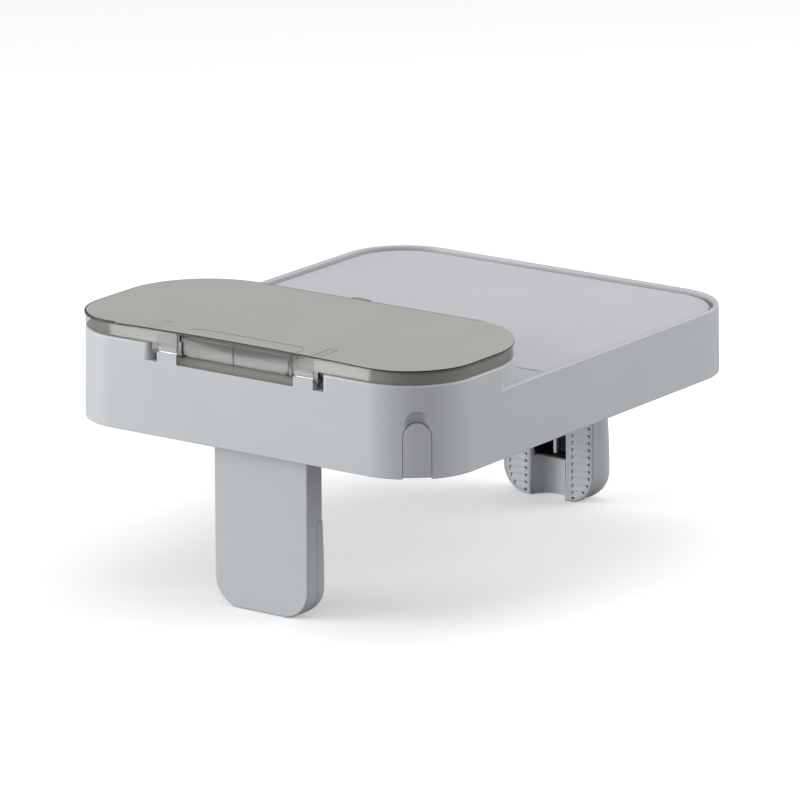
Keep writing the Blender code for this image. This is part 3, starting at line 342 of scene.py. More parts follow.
def moulded_plastic(name, colour, roughness, grain_mm, grain_depth, cloud=0.02):
    """A moulded skin: an even colour with faint clouds, satin patches and a fine spark-eroded grain."""
    made, tree = new_material(name)
    place = add(tree, "ShaderNodeTexCoord").outputs["Object"]
    tone = spread(tree, noise(tree, place, 14.0, 3.0), 1.0 - cloud, 1.0 + cloud)
    paint = add(tree, "ShaderNodeHueSaturation", Value=tone, Color=linear(colour))
    satin = spread(tree, noise(tree, place, 60.0, 4.0), roughness - 0.04, roughness + 0.04)
    grain = noise(tree, place, 1.0 / (grain_mm * MM), 2.0)
    bump = add(tree, "ShaderNodeBump", Strength=0.6, Distance=grain_depth * MM, Height=grain)
    shader = add(
        tree, "ShaderNodeBsdfPrincipled", Base_Color=paint, Roughness=satin, IOR=1.49, Normal=bump
    )
    finish_material(tree, shader)
    return made


# Light grey, with a broad soft sheen and no gloss. The grain is about 0.1 mm on the real skin and is drawn
# at 0.7 mm, so that it just takes the gloss off.
grey_polypropylene = moulded_plastic("moulded_grey_polypropylene", "#BFC2C5", 0.38, 0.7, 0.012)
width, depth, rim = 280.0, 350.0, 44.0
slope = 0.7 / rim
box_top = 58.0
box_drawn = slope * box_top
box_rear = -175.0 + 131.0 + box_drawn
rear_corner = 57.0 + box_drawn


def outline(half, front, rear, radii):
    """A function that gives the flat face inside an outline at a height, drawn in by inset, facing up or
    down. radii are the outline's corners: front left, front right, rear right and rear left."""

    def face_of(inset, z, facing=1):
        x, y0, y1 = half - inset, front + inset, rear - inset
        points = [(-x, y0, z), (x, y0, z), (x, y1, z), (-x, y1, z)]
        rounds = [radius - inset for radius in radii]
        return rounded_face(points[::facing], rounds[::facing], 28)

    return face_of


tray_face = outline(width / 2, -depth / 2, depth / 2, (40.0, 46.0, 45.0, 45.0))
box_face = outline(width / 2, -depth / 2, box_rear, (40.0, 46.0, rear_corner, rear_corner))
store_face = outline(132.4, -162.4, -50.677, (32.4, 38.4, 50.323, 50.323))
pocket_face = outline(136.3, -44.5, 171.3, (10.0, 10.0, 41.3, 41.3))

bm, face = tray_face(slope * 0.8, 0.8)
carry(bm, face, [(slope * 41.8, 41.8)] + quarter(1.4))
carry(bm, closed(bm), quarter(0.8))
shell = as_piece(bm, "tray_shell")
bm, face = pocket_face(-1.4, 47.0, -1)
carry(bm, face, [(0.0, 3.0)] + quarter(1.4, mouth=True) + [(0.0, 3.6)] + quarter(1.0))
closed(bm)
carve(shell, as_piece(bm, "pocket"), block((-136.3, -129.0, 41.9), (136.3, -35.5, 47.0)))
bm, face = box_face(slope * 35.6 + 0.05, 35.6)
carry(bm, face, [(slope * 6.4 - 0.07, 6.4), (slope * 14.6, 14.6)] + quarter(1.4))
closed(bm)
box_wall = as_piece(bm, "box_wall")
bm, face = tray_face(2.95, -3.0)
carry(bm, face, [(0.6, 36.6)] + quarter(2.0))
closed(bm)
carve(shell, as_piece(bm, "underside"))

bm, face = store_face(-2.2, 13.6)
carry(bm, face, [(0.0, 49.1)] + quarter(0.5, steps=3))
closed(bm)
store_block = as_piece(bm, "store_block")
base_screws = [(x, y) for x in (-122.0, 122.0) for y in (-118.0, 14.0, 146.0)]
leg_screws = [(-20.0, -148.0), (20.0, -148.0)]
under_box = [place for place in base_screws + leg_screws if place[1] < -100.0]
under_deck = [place for place in base_screws if place[1] > -100.0]
to_corner = Matrix.Translation(Vector((94.0, -129.0, 0.0)) * MM) @ Matrix.Rotation(math.radians(40.0), 4, "Z")


def in_corner(piece):
    """Takes a piece that was drawn about the front right corner's centre to its place in that corner."""
    piece.data.transform(to_corner)
    return piece


carve(
    shell, box_wall, store_block, rods("z", under_box, 4.0, 2.7, 15.0), rods("z", under_deck, 4.0, 2.7, 37.0),
    in_corner(block((-11.6, -43.0, 2.7), (11.6, -39.0, 36.6))), operation="UNION",
)
bm, face = store_face(-0.5, 66.0, -1)
carry(bm, face, [(0.0, 2.8)] + quarter(0.5, mouth=True, steps=3) + [(0.0, 43.7)] + quarter(3.0))
closed(bm)

# The notch for the hinge and the window tab, open to the front and above, leaves the two knuckles standing.
hinge_at = (-171.677, 53.4)
hinge_bore = 1.25
knuckles = (-64.0, 38.8)
knuckle_width = 14.8
knuckle_rear = -169.28
notch_floor = 47.2
notch = [(-82.7, -178.0), (72.3, -178.0), (72.3, -174.3), (59.3, -174.3)]
notch += [(59.3, -165.38), (-69.7, -165.38), (-69.7, -174.3), (-82.7, -174.3)]
notch = prism([(x, y, notch_floor) for x, y in notch], (0, 0, 0, 5.0, 1.5, 1.5, 5.0, 0), (0, 0, 19.0))
for low in knuckles:
    carve(notch, block((low, -180.0, 40.0), (low + knuckle_width, knuckle_rear, 53.7)))
carve(shell, as_piece(bm, "store"), notch)
knuckle = [(-172.7, 50.0), (knuckle_rear, 50.0), (knuckle_rear, 57.2)]
knuckle += [(-173.88, 57.2), (-173.88, 54.9), (-172.7, 54.9)]
for low in knuckles:
    barrel = prism([(low, y, z) for y, z in knuckle], (0, 0, 2.28, 2.28, 0, 0), (knuckle_width, 0, 0))
    carve(shell, barrel, operation="UNION")
    carve(shell, rods("x", [hinge_at], hinge_bore, low - 3.0, low + knuckle_width + 3.0))


def arch(half, bottom, top, near, far):
    """An upright arch in the front right corner, between two distances from that corner's centre."""
    points = [(-half, -near, bottom), (half, -near, bottom), (half, -near, top), (-half, -near, top)]
    return in_corner(prism(points, (0, 0, half - 0.02, half - 0.02), (0, near - far, 0), steps=16))


bm = bmesh.new()
bmesh.ops.create_uvsphere(bm, u_segments=48, v_segments=32, radius=1.0)
bmesh.ops.scale(bm, vec=(7.75, 4.0, 8.4), verts=bm.verts)
bmesh.ops.translate(bm, vec=(0.0, -45.451, 33.9), verts=bm.verts)
scoop = in_corner(as_piece(bm, "finger_scoop"))
hook_opening = (8.95, -3.0, 34.85, 41.2, 49.0)
hook_pin_at = (-43.4, 2.8)
hook_bore = 1.05
screw_bore = 1.5
carve(
    shell, arch(*hook_opening), scoop, in_corner(rods("x", [hook_pin_at], hook_bore, -10.75, 10.75)),
    rods("z", base_screws + leg_screws, screw_bore, -1.0, 11.4),
)
finish(shell)
stands_for(shell, "tray_body", grey_polypropylene)

# Tray mat: a lilac grey sheet of soft EVA foam in the deck's pocket, cut with a gap all round and a rounded
# edge. It is laid in, not fixed, so that it can be lifted out and washed.

# The foam's skin gives the eye a warmer, duller grey than the moulding round it.
lilac_foam = moulded_plastic("skinned_lilac_eva_foam", "#C9C7CC", 0.58, 0.9, 0.03, 0.025)
bm, face = pocket_face(3.0, 38.9)
carry(bm, face, [(0.0, 1.9)] + quarter(0.8))
carry(bm, closed(bm), quarter(0.6, steps=3))
mat = as_piece(bm, "eva_mat")
finish(mat, 0.0)
stands_for(mat, "tray_mat", lilac_foam)

# Base cover: a flat plate of the same grey plastic, 2.4 mm thick, that closes the tray's underside. It has
# two slots for the jaw's prongs, a shallow seat for the leg and sunk places for the screw heads.
rail_screws = [(x, y) for x in (-49.4, 49.4) for y in (19.0, 143.5)]
bm, face = tray_face(3.4, 0.4)
carry(bm, face, [(0.0, 2.0)])
carry(bm, closed(bm), quarter(0.4, steps=3))
base = as_piece(bm, "base_plate")
carve(
    base, block((-27.0, 19.3, -3.0), (-17.0, 178.0, 5.4)), block((17.0, 19.3, -3.0), (27.0, 178.0, 5.4)),
    block((-35.8, -156.0, -3.0), (35.8, -140.0, 0.28)), arch(*hook_opening),
    rods("z", base_screws + rail_screws, 3.3, -1.0, 1.5),
    rods("z", base_screws + rail_screws + leg_screws, screw_bore, -3.0, 3.4),
)
finish(base, 0.2)
stands_for(base, "base_cover", grey_polypropylene)


# Screws: stainless pan heads with a cross recess, turned and rolled, bright with a fine turned ring. They
# hold the base cover, the rails and the leg from below, and the jaw to its prongs.
def turned_steel(name, roughness):
    """Bright stainless steel with the fine rings that turning leaves, drawn at 0.5 mm so that they show."""
    made, tree = new_material(name)
    place = add(tree, "ShaderNodeTexCoord").outputs["Object"]
    satin = spread(tree, noise(tree, place, 300.0, 3.0), roughness - 0.06, roughness + 0.06)
    rings = noise(tree, place, 2000.0, 3.0)
    bump = add(tree, "ShaderNodeBump", Strength=0.3, Distance=0.01 * MM, Height=rings)
    shader = add(
        tree, "ShaderNodeBsdfPrincipled",
        Base_Color=linear("#C9CACB"), Metallic=1.0, Roughness=satin, Normal=bump,
    )
    finish_material(tree, shader)
    return made


# Cold and bright: the one metal in the tray, a spark of light in each sunk screw place.
stainless = turned_steel("turned_stainless_steel", 0.28)


def pan_screw(name):
    """A pan-head screw in the place of its CAD node, with its head down."""
    low, high = (Vector(corner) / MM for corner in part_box(name))
    length = high.z - low.z
    profile = [(0.0, 0.0), (1.7, 0.0), (2.5, 0.2), (2.9, 0.55), (3.0, 0.9), (3.0, 1.3), (1.2, 1.3)]
    profile += [(1.2, length - 0.9), (0.0, length)]
    bm = bmesh.new()
    verts = [bm.verts.new((x, 0.0, z)) for x, z in profile]
    edges = [bm.edges.new(pair) for pair in zip(verts, verts[1:])]
    bmesh.ops.spin(
        bm, geom=verts + edges, cent=(0, 0, 0), axis=(0, 0, 1), angle=2 * math.pi, steps=32, use_merge=True
    )
    bmesh.ops.remove_doubles(bm, verts=bm.verts, dist=1e-4)
    bmesh.ops.recalc_face_normals(bm, faces=bm.faces)
    screw = as_piece(bm, name + "_pan_head")
    carve(screw, block((-1.6, -0.36, -1.0), (1.6, 0.36, 0.9)), block((-0.36, -1.6, -1.0), (0.36, 1.6, 0.9)))
    middle = (low + high) / 2
    screw.data.transform(Matrix.Translation(Vector((middle.x, middle.y, low.z)) * MM))
    finish(screw, 0.06)
    stands_for(screw, name, stainless)


for name in node:
    if "screw" in name:
        pan_screw(name)


# Slide: two channel rails under the deck and the carriage that runs in them, moulded in black acetal, which
# slides on itself without grease. The jaw hangs from the carriage's two prongs.
def refined(name, edge=0.25):
    """A smooth copy of a CAD solid, its points merged and its hard edges broken."""
    bm = bmesh.new()
    bm.from_mesh(node[name].data)
    bmesh.ops.remove_doubles(bm, verts=bm.verts, dist=1e-6)
    bmesh.ops.dissolve_limit(bm, angle_limit=math.radians(0.3), verts=bm.verts, edges=bm.edges)
    bmesh.ops.scale(bm, vec=(1 / MM, 1 / MM, 1 / MM), verts=bm.verts)
    piece = as_piece(bm, name + "_finished")
    finish(piece, edge)
    return piece


# A waxy near-black, so that the working parts read as a shadow in the base's slots.
black_acetal = moulded_plastic("moulded_black_acetal", "#2B2C2F", 0.4, 0.7, 0.01)
for name in ("guide_rail_left", "guide_rail_right", "jaw_carriage"):
    stands_for(refined(name), name, black_acetal)


# Fixed leg: a moulded outer shell screwed up under the tray, closed on its inner side by a grip face with a
# hollow down its middle. Both are the tray's grey plastic.
head_half, head_round = 35.5, 19.0


def head_face(inset, y, top, facing=-1):
    """A clamp head's outline, with its two round lower corners, facing the front or the rear."""
    x, low = head_half - inset, inset + floor_z
    points = [(-x, y, low), (x, y, low), (x, y, top), (-x, y, top)]
    radii = [head_round - inset, head_round - inset, 0.0, 0.0]
    return rounded_face(points[::-facing], radii[::-facing], 20)


def swell(z, size):
    """The gentle bulge of a head's side, fullest near its foot."""
    share = min(max(-z / 83.0, 0.0), 1.0)
    return size * share**2 * (3.0 - 2.0 * share)


def foot(z, size):
    """How far a head's rounded lower edge has drawn in, over its last 14 mm."""
    share = min(max((-92.6 - z) / 14.0, 0.0), 1.0)
    return size * (1.0 - math.sqrt(1.0 - (0.97 * share) ** 2))


def bend(bm, shift, near, far):
    """Cuts a head into levels and moves each along Y by shift(z): not at all at near, and fully at far."""
    levels = [-105.9, -105.0, -104.0, -102.8, -101.4, -99.8, -97.9, -95.8, -93.4]
    levels += [-4.0 * number for number in range(1, 23)]
    for z in levels:
        bmesh.ops.bisect_plane(
            bm, geom=bm.verts[:] + bm.edges[:] + bm.faces[:], dist=1e-4,
            plane_co=(0, 0, z), plane_no=(0, 0, 1),
        )
    for vert in bm.verts:
        share = min(max((vert.co.y - near) / (far - near), 0.0), 1.0)
        vert.co.y += share * shift(vert.co.z)


bm, face = head_face(0.0, -154.3, -0.02)
carry(bm, face, quarter(1.4))
carry(bm, closed(bm), [(0.0, 13.2)] + quarter(0.8))
leg = as_piece(bm, "leg_outer_shell")
bm, face = head_face(2.4, -153.3, -3.5, 1)
carry(bm, face, [(0.0, 10.6)])
closed(bm)
carve(
    leg, block((-71.0, -146.0, -110.0), (71.0, -130.0, -45.1)), as_piece(bm, "leg_hollow"),
    rods("z", leg_screws, screw_bore, -5.0, 1.0),
)
finish(leg)
stands_for(leg, "leg_shell", grey_polypropylene)


# Grip pads: soft grey rubber pads in the two lobes of each clamp head, ratchet ribs that point upwards so
# that the wall can't slip down, and a small round hole at one end of each rib.
half_channel = 13.4
pad_inset, seat_inset = 2.4, 2.35
pad_top, seat_top = -46.3, -46.25
rib_pitch, rib_height = 4.8, 4.3
pad_hole, seat_hole = 1.1, 0.95


def lobe(side, inset, top, near, far):
    """A solid with the outline of one grip lobe."""
    inner, outer, low = side * (half_channel + inset), side * (head_half - inset), inset + floor_z
    points = [(inner, near, low), (outer, near, low), (outer, near, top), (inner, near, top)]
    return prism(points, (0, head_round - inset, 0, 0), (0, far - near, 0), steps=20)


def half_width(z, inset):
    """Half a head's width at this height."""
    radius = head_round - inset
    rise = z - floor_z - inset
    short = radius - math.sqrt(max(radius**2 - max(radius - rise, 0.0) ** 2, 0.0))
    return head_half - inset - short


def layer(side, face_at, near, far, name="layer"):
    """A layer across one lobe that follows the face Y = face_at(z), from near to far of it."""
    sheet = [(face_at(z) + near, z) for z in range(-44, -109, -2)]
    sheet += [(face_at(z) + far, z) for z in range(-108, -42, 2)]
    return prism([(side * 10.0, y, z) for y, z in sheet], [0] * len(sheet), (side * 30.0, 0, 0), name)


def pad_and_holes(name, side, face_at, inward):
    """A ratchet pad on a face at Y = face_at(z), and the places of the holes that pass through it."""
    pad = layer(side, face_at, -inward * 0.1, -inward * 1.55, name)
    near, far = sorted((face_at(-60.0) - 20.0 * inward, face_at(-60.0) + 20.0 * inward))
    carve(pad, lobe(side, pad_inset, pad_top, near, far), operation="INTERSECT")
    holes = []
    grooves = bmesh.new()
    for number in range(1, 13):
        z = -46.0 - rib_pitch * number
        hole = min(31.8, half_width(z, pad_inset) - 1.3) if side > 0 else -17.3
        start = 18.6 if side > 0 else 5.3 - half_width(z, 0.0)
        if abs(hole - start) > 3.0:
            upper, lower = z, z - rib_height
            corners = [(face_at(upper) + inward * 0.3, upper), (face_at(upper) - inward * 1.15, upper)]
            corners += [(face_at(lower) + inward * 0.05, lower)]
            flat = grooves.faces.new([grooves.verts.new((start, y, level)) for y, level in corners])
            pull_out(grooves, flat, (hole - start, 0, 0))
        holes.append((hole, z))
    bmesh.ops.recalc_face_normals(grooves, faces=grooves.faces)
    carve(pad, as_piece(grooves, "grooves"), rods("y", holes, pad_hole, near, far, 24))
    return pad, holes


def leg_inner(z, plane=-140.9):
    """Where the leg's inner face is at this height, or how far it stands out from a plane at 0."""
    return plane + swell(z, 3.0) - foot(z, 8.0)


# The rubber has the moulding's grey but a dull skin, so that the pads show by their ribs and their seam.
grip_rubber = moulded_plastic("moulded_grey_tpe_rubber", "#BFC3C6", 0.55, 0.7, 0.02)
bm, face = head_face(0.0, -144.9, -45.4)
carry(bm, face, quarter(0.8, steps=4))
carry(bm, closed(bm), [(0.0, 2.6)] + quarter(1.4))
bend(bm, lambda z: leg_inner(z, 0.0), -144.9, -142.3)
leg_face = as_piece(bm, "leg_grip_face")
carve(leg_face, rods("z", [(0.0, -125.937)], 17.963, -112.0, -40.0, 128))
for side, name in ((-1, "leg_pad_left"), (1, "leg_pad_right")):
    pad, holes = pad_and_holes("ratchet_" + name, side, leg_inner, 1)
    seat = layer(side, leg_inner, 3.0, -1.6)
    carve(seat, lobe(side, seat_inset, seat_top, -160.0, -120.0), operation="INTERSECT")
    carve(leg_face, seat, rods("y", holes, seat_hole, -143.6, -130.0, 24))
    finish(pad, 0.1)
    stands_for(pad, name, grip_rubber)
finish(leg_face, 0.1)
stands_for(leg_face, "leg_face", grey_polypropylene)


# Jaw face: the moulded inner plate of the sliding jaw. Its finger channel deepens to a half pipe below, and
# above it a window opens on the release lever. A hollow groove runs round behind its front rim.
def jaw_inner(_z):
    """The jaw's inner face, which is flat."""
    return 156.7


bm, face = head_face(0.0, 158.3, -0.5)
carry(bm, face, quarter(1.6))
carry(bm, closed(bm), [(0.0, 0.2), (1.4, 0.6), (0.8, 1.0), (0.1, 0.7)])
jaw_face = as_piece(bm, "jaw_front_plate")
carve(jaw_face, block((-16.4, 159.8, -106.4), (16.4, 170.0, -78.5)), operation="UNION")
carve(
    jaw_face, block((-half_channel, 150.0, -80.5), (half_channel, 171.0, 3.0)),
    rods("z", [(0.0, 154.643)], 13.557, -112.0, -75.0, 128),
)
for side, name in ((-1, "jaw_pad_left"), (1, "jaw_pad_right")):
    pad, holes = pad_and_holes("ratchet_" + name, side, jaw_inner, -1)
    seat = lobe(side, seat_inset, seat_top, 150.0, 158.35)
    carve(jaw_face, seat, rods("y", holes, seat_hole, 150.0, 159.9, 24))
    finish(pad, 0.1)
    stands_for(pad, name, grip_rubber)

# The channel's two front lips are rounded last, when the seats beside them are cut.
bm = bmesh.new()
bm.from_mesh(jaw_face.data)
lips = []
for edge in bm.edges:
    ends = [vert.co / MM for vert in edge.verts]
    if all(abs(abs(end.x) - half_channel) < 0.02 and abs(end.y - jaw_inner(end.z)) < 0.02 for end in ends):
        lips.append(edge)
bmesh.ops.bevel(
    bm, geom=lips, offset=1.9 * MM, offset_type="OFFSET", segments=6, profile=0.5, affect="EDGES", material=-1
)
bm.to_mesh(jaw_face.data)
bm.free()
finish(jaw_face, 0.1)
stands_for(jaw_face, "jaw_face", grey_polypropylene)


# Jaw shell: the moulded outer half of the jaw, with a full back and a groove where it meets the face. It is
# screwed up to the carriage's prongs.
def jaw_bulge(z):
    """How far the jaw's back stands out from its upper plane."""
    return swell(z, 7.0) - foot(z, 6.0)


bm, face = head_face(0.0, 168.0, -0.5)
carry(bm, face, [(0.4, 1.6), (1.4, 2.2), (1.3, 1.7), (0.3, 1.4)])
carry(bm, closed(bm), quarter(4.5, steps=10))
bend(bm, jaw_bulge, 163.0, 172.0)
jaw = as_piece(bm, "jaw_outer_shell")
bm, face = head_face(4.2, 156.0, -3.5, 1)
carry(bm, face, [(0.0, 12.0)] + quarter(2.1, steps=4))
closed(bm)
bend(bm, jaw_bulge, 163.0, 170.0)
jaw_screws = [(-22.0, 164.3), (22.0, 164.3)]
carve(
    jaw, as_piece(bm, "jaw_hollow"), block((-16.7, 156.0, -110.0), (16.7, 170.3, -87.6)),
    block((-5.9, 156.0, -9.0), (5.9, 163.8, 3.0)), rods("z", jaw_screws, screw_bore, -5.0, 1.0),
)
finish(jaw)
stands_for(jaw, "jaw_shell", grey_polypropylene)

# Liner: a moulded box behind the window, painted near black for the deep shade inside the jaw. It keeps water
# and fingers out of the jaw, and carries the lever's pin. Its floor dips behind the channel's rim, so that
# only black shows above it.

# Near black, painted deep shade, so that the window reads as a deep hole behind the light lever.
liner_painted_shade = moulded_plastic("near_black_liner_painted_shade", "#1B1C1F", 0.5, 0.7, 0.01)
lever_pin_at = (163.7, -9.0)
sides = [(161.1, -78.1), (176.1, -78.1), (169.3, -5.5), (161.1, -5.5)]
liner = prism([(-16.4, y, z) for y, z in sides], (0, 1.5, 0.5, 0), (32.8, 0, 0), "window_liner")
carve(liner, block((-13.0, 161.1, -80.2), (13.0, 175.9, -77.5)), operation="UNION")
hollow = [(156.7, -76.9), (174.9, -76.9), (168.1, -5.5), (168.1, 3.0), (156.7, 3.0)]
carve(
    liner, prism([(-15.2, y, z) for y, z in hollow], (0, 1.0, 0, 0, 0), (30.4, 0, 0)),
    block((-12.0, 156.7, -79.2), (12.0, 175.2, -76.0)), rods("x", [lever_pin_at], 1.25, -20.0, 20.0),
)
finish(liner, 0.0)
stands_for(liner, "jaw_liner", liner_painted_shade)

# Release lever: the upright bar in the window, moulded in the light grey plastic. Pressed back, it rocks on
# its steel pin and takes the rubber brake off the base, so that the jaw slides.
lever = [(164.9, -78.4), (167.0, -78.4), (167.0, -44.0), (165.4, -16.0), (165.9, -9.0), (163.7, -6.8)]
lever += [(158.6, -4.5), (158.6, -6.9), (161.6, -10.4), (162.0, -16.0), (164.8, -44.0)]
lever_rounds = (0.8, 0.8, 6.0, 3.0, 2.0, 1.0, 0.3, 0.3, 1.0, 3.0, 6.0)
bar = prism([(-1.1, y, z) for y, z in lever], lever_rounds, (2.2, 0, 0), "release_bar")
boss = rods("x", [lever_pin_at], 2.3, -1.6, 1.6)
carve(bar, boss, block((-4.7, 158.6, -5.75), (4.7, 162.6, -2.95)), operation="UNION")
carve(bar, rods("x", [lever_pin_at], 1.25, -5.0, 5.0))
finish(bar, 0.4)
stands_for(bar, "release_lever", grey_polypropylene)
stands_for(refined("brake_pad", 0.4), "brake_pad", grip_rubber)


def steel_pin(name):
    """A ground steel pin, 2 mm thick, between the ends of its CAD node."""
    low, high = (Vector(corner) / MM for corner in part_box(name))
    middle = (low + high) / 2
    pin = rods("x", [(middle.y, middle.z)], 1.0, low.x, high.x, name=name + "_ground")
    finish(pin, 0.2)
    stands_for(pin, name, stainless)


steel_pin("lever_pin")

# Bag hook: a flat moulded arch in the front right corner, flush with the skirt, which swings out on a steel
# pin at its foot. The finger scoop above it is in the tray.
bm, face = tray_face(slope * 0.8, 0.8)
carry(bm, face, [(slope * 41.2, 41.2)])
closed(bm)
skin = as_piece(bm, "corner_skin")
hook = arch(8.6, 1.6, 34.5, 42.6, 49.0)
hook.name = "swing_out_hook"
carve(hook, skin, operation="INTERSECT")
carve(hook, in_corner(rods("x", [hook_pin_at], 1.8, -8.58, 8.58)), operation="UNION")
carve(hook, in_corner(rods("x", [hook_pin_at], hook_bore, -12.0, 12.0)))
finish(hook, 0.35)
stands_for(hook, "bag_hook", grey_polypropylene)
pin = in_corner(rods("x", [hook_pin_at], 0.8, -10.4, 10.4, name="hook_pin_ground"))
finish(pin, 0.15)
stands_for(pin, "hook_pin", stainless)


# Lid: one smoke-tinted SAN moulding. Its top is frosted in the mould, its skirt, window tab and hinge ears
# are polished, and its thin edges are painted nearly black, a painted dark edge for the tint seen through
# their whole width, also painted along the top's far edge and the window's ribs.
def smoke_plastic(name, colour, roughness, body, grain_mm, grain_depth):
    """Tinted styrene plastic: how much the tint covers, and how rough its surface was moulded."""
    made, tree = new_material(name)
    place = add(tree, "ShaderNodeTexCoord").outputs["Object"]
    tone = spread(tree, noise(tree, place, 22.0, 3.0), 0.975, 1.025)
    tint = add(tree, "ShaderNodeHueSaturation", Value=tone, Color=linear(colour))
    grain = noise(tree, place, 1.0 / (grain_mm * MM), 2.0)
    satin = spread(tree, grain, roughness * 0.85, roughness * 1.15)
    bump = add(tree, "ShaderNodeBump", Strength=0.5, Distance=grain_depth * MM, Height=grain)
    shader = add(
        tree, "ShaderNodeBsdfPrincipled",
        Base_Color=tint, Roughness=satin, IOR=1.57, Alpha=body, Normal=bump,
    )
    finish_material(tree, shader)
    return made


# The skirt and the ears: a clear smoky veil that still shows the wall behind it.
polished_smoke = smoke_plastic("polished_smoke_san", "#98978E", 0.12, 0.45, 3.0, 0.004)
# The window tab, the knuckles' panels and the rear skirt: a veil as clear, but of a darker brown grey.
thin_smoke = smoke_plastic("thin_smoke_san_window", "#6F6B65", 0.12, 0.4, 3.0, 0.004)
# The top: an even, milky grey that hides the box.
frosted_smoke = smoke_plastic("frosted_smoke_san", "#ABACA6", 0.38, 1.0, 0.8, 0.015)
# The edges: a painted dark line that draws the lid's outline, on its near edges, the far edge of its top and
# the window's ribs.
painted_dark_edge_smoke = smoke_plastic("smoke_san_painted_dark_edge", "#20211B", 0.4, 1.0, 1.5, 0.004)

bm, face = box_face(1.0, 58.8)
carry(bm, face, [(0.0, 6.5), (0.2, 0.1), (0.0, 1.2)])
carry(bm, closed(bm), quarter(0.4, steps=3))
lid = as_piece(bm, "smoke_lid")
bm, face = box_face(0.223, 66.3)
carry(bm, face, [(0.0, 0.7)] + quarter(0.5, steps=4) + [(0.7, 0.0)])
carry(bm, closed(bm), quarter(0.3, steps=3))
plate = as_piece(bm, "lid_plate")
bm, face = box_face(3.723, 55.0)
carry(bm, face, [(0.0, 10.1)] + quarter(0.6, steps=4))
closed(bm)
carve(lid, plate, operation="UNION")
carve(lid, as_piece(bm, "lid_cavity"))
thumb = [(-14.0, -46.4, 66.4), (2.5, -46.4, 66.4), (2.5, -38.2, 66.4), (-14.0, -38.2, 66.4)]
bm, face = rounded_face(thumb, (0.5, 0.5, 5.0, 5.0), 12)
carry(bm, face, [(0.0, 0.2)] + quarter(0.6, steps=4))
carry(bm, closed(bm), [(0.0, 1.2)] + quarter(0.6, steps=4))
thumb_tab = as_piece(bm, "thumb_tab")

# The window tab hangs from the lid's front between the knuckles. Its face is sunk between two upright ribs,
# with a thin seam and the mould gate's nub low on it.
tab_left, tab_right, rib = -48.8, 38.4, 0.8
tab_front, tab_rear = -174.0, -171.577
window = [(tab_front, 47.8), (-170.477, 47.8), (-170.477, 51.6), (tab_rear, 52.0), (tab_rear, 61.4)]
window += [(tab_front, 61.4)]
window = [(tab_left, y, z) for y, z in window]
window_tab = prism(window, (0.5, 0.5, 0.3, 0, 0, 0), (tab_right - tab_left, 0, 0))
web = block((tab_left, -171.78, 62.2), (tab_right, -165.5, 66.2))
carve(lid, thumb_tab, window_tab, web, operation="UNION")
carve(lid, block((-47.2, -180.0, 52.3), (36.8, -172.6, 64.9)))
nub = bmesh.new()
bmesh.ops.create_uvsphere(nub, u_segments=16, v_segments=12, radius=0.55)
bmesh.ops.translate(nub, vec=(-7.3, -172.75, 53.2), verts=nub.verts)
seam = block((-7.8, -172.95, 52.0), (-6.8, -172.3, 65.0))
carve(lid, seam, as_piece(nub, "gate_nub"), operation="UNION")

# A thin panel of the lid's front covers each knuckle, and a hinge ear stands on each side of it.
ear_width, ear_gap = 3.4, 0.4
for low in knuckles:
    cover = block((low - 0.2, -174.2, 55.2), (low + knuckle_width + 0.2, -173.2, 65.9))
    carve(lid, cover, operation="UNION")
ears = [low for at in knuckles for low in (at - ear_gap - ear_width, at + knuckle_width + ear_gap)]
for low in ears:
    ear = rods("x", [hinge_at], 2.3, low, low + ear_width)
    arm = block((low, tab_front, hinge_at[1]), (low + ear_width, tab_rear, 61.4))
    carve(lid, ear, arm, operation="UNION")
    carve(lid, rods("x", [hinge_at], hinge_bore, low - 2.0, low + ear_width + 2.0))


def scribe(left, right, rear, radius):
    """A shallow line, 0.8 mm wide, that runs back from the lid's front edge and round."""
    floor_at = 67.33
    made = []
    for inset, down, height in ((0.0, 0.0, 2.0), (0.8, 1.0, 5.2)):
        x0, x1, y1, z = left + inset, right - inset, rear - inset, floor_at - down
        points = [(x0, -185.0, z), (x1, -185.0, z), (x1, y1, z), (x0, y1, z)]
        made.append(prism(points, (0, 0, radius - inset, radius - inset), (0, 0, height), steps=10))
    carve(made[0], made[1])
    carve(lid, made[0])


scribe(-46.0, 42.0, -162.1, 8.0)
scribe(-71.5, -65.0, -156.5, 3.0)
scribe(52.6, 58.9, -154.0, 3.0)


def from_edge(x, y):
    """How far a point of the lid's top lies from its outline."""
    for across, along, radius, turn_x, turn_y in (
        (-100.0, -135.0, 40.0, -1, -1), (94.0, -129.0, 46.0, 1, -1),
        (-82.08, -101.0, 57.9, -1, 1), (82.08, -101.0, 57.9, 1, 1),
    ):
        if (x - across) * turn_x > 0.0 and (y - along) * turn_y > 0.0:
            return radius - math.hypot(x - across, y - along)
    return min(width / 2 - abs(x), y + depth / 2, box_rear - y)


POLISHED, FROSTED, PAINTED_DARK_EDGE, THIN = range(4)
lid_middle = -109.0
top_level = 67.1
sunk_low = 52.3


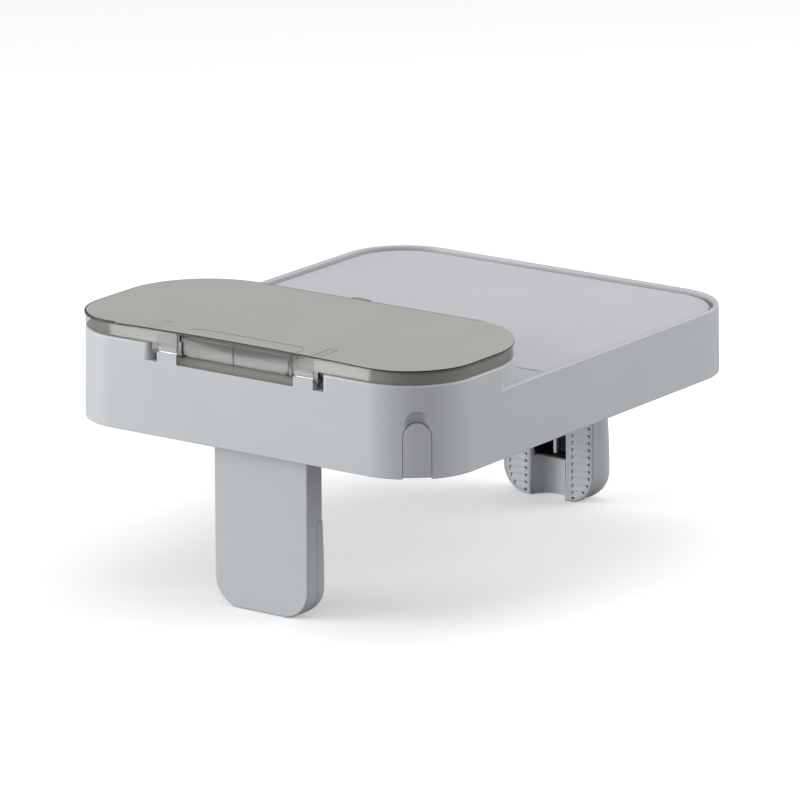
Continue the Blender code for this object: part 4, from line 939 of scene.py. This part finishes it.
def look(place, normal):
    """Which of the lid's four materials a face wears, by where it is and which way it looks."""
    x, y, z = place
    side, front, level = normal
    outwards = side * x + front * (y - lid_middle) > 0.0
    on_rib = tab_left < x < tab_left + rib or tab_right - rib < x < tab_right
    in_window = tab_left + rib < x < tab_right - 0.4 and 52.0 < z < 65.0
    # Painted dark edges: the window's ribs, the plate's outer edges, a 1.3 mm strip along the top's far edge
    # and the tab's sides.
    if front < -0.9 and y < -173.9 and z > sunk_low and on_rib:
        return PAINTED_DARK_EDGE
    if y > -43.2 or abs(front) > 0.9 and y < -171.0 and in_window or y < -174.08 and z < 66.0:
        return THIN
    if z > 66.3 and level < 0.5 and outwards:
        return PAINTED_DARK_EDGE
    if z > top_level:
        far_side = y - lid_middle > 0.7 * x
        return PAINTED_DARK_EDGE if from_edge(x, y) < 1.3 and far_side else FROSTED
    return PAINTED_DARK_EDGE if abs(side) > 0.9 and y < -168.0 else POLISHED


# The lid is cut into strips, so that each face has one look and the front can lean.
bm = bmesh.new()
bm.from_mesh(lid.data)
upright = [(x * MM, 0, 0) for x in (tab_left + rib, tab_right - rib, *range(-112, 113, 8))]
for place in upright + [(0, 0, sunk_low * MM), (0, 0, 56.0 * MM)]:
    across = (0, 0, 1) if place[2] else (1, 0, 0)
    bmesh.ops.bisect_plane(
        bm, geom=bm.verts[:] + bm.edges[:] + bm.faces[:], dist=1e-7, plane_co=place, plane_no=across
    )
for face in bm.faces:
    face.material_index = look(face.calc_center_median() / MM, face.normal)

# The lid's front leans back over the hinge, by 5 mm in its middle, and its right end stops short of the box.
for vert in bm.verts:
    x, y, z = vert.co / MM
    if y < -150.0:
        lean = 5.0 * MM * max(1.0 - (x / 112.0) ** 2, 0.0) * min(max((z - 56.0) / 10.0, 0.0), 1.0)
        vert.co.y += lean
        vert.co.x -= 0.6 * lean
    if x > 60.0:
        vert.co.x -= 1.2 * MM * min((x - 60.0) / 30.0, 1.0)
bm.to_mesh(lid.data)
bm.free()
finish(lid, 0.05)
stands_for(lid, "box_lid", polished_smoke, frosted_smoke, painted_dark_edge_smoke, thin_smoke)

# Lid seal: a ring of grey silicone rubber under the lid's ceiling, pressed on the box's upstand. It is
# moulded in one piece, with rounded edges, and held by its own stretch.

# A dull mid grey, darker than the moulding, so that the soft ring stands off when the lid is open.
grey_silicone = moulded_plastic("moulded_grey_silicone", "#8A8A84", 0.5, 0.6, 0.01)
bm, face = store_face(-2.0, 64.0)
carry(bm, face, [(0.0, 0.9)] + quarter(0.5, steps=3))
carry(bm, closed(bm), quarter(0.5, steps=3))
seal = as_piece(bm, "silicone_ring")
bm, face = store_face(0.2, 60.0)
carry(bm, face, [(0.0, 10.0)])
closed(bm)
carve(seal, as_piece(bm, "seal_bore"))
finish(seal, 0.3)
stands_for(seal, "lid_seal", grey_silicone)

# Hinge pins: two ground steel pins through the body's knuckles and the lid's ears. The lid turns on them and
# is held by nothing else.
steel_pin("hinge_pin_left")
steel_pin("hinge_pin_right")
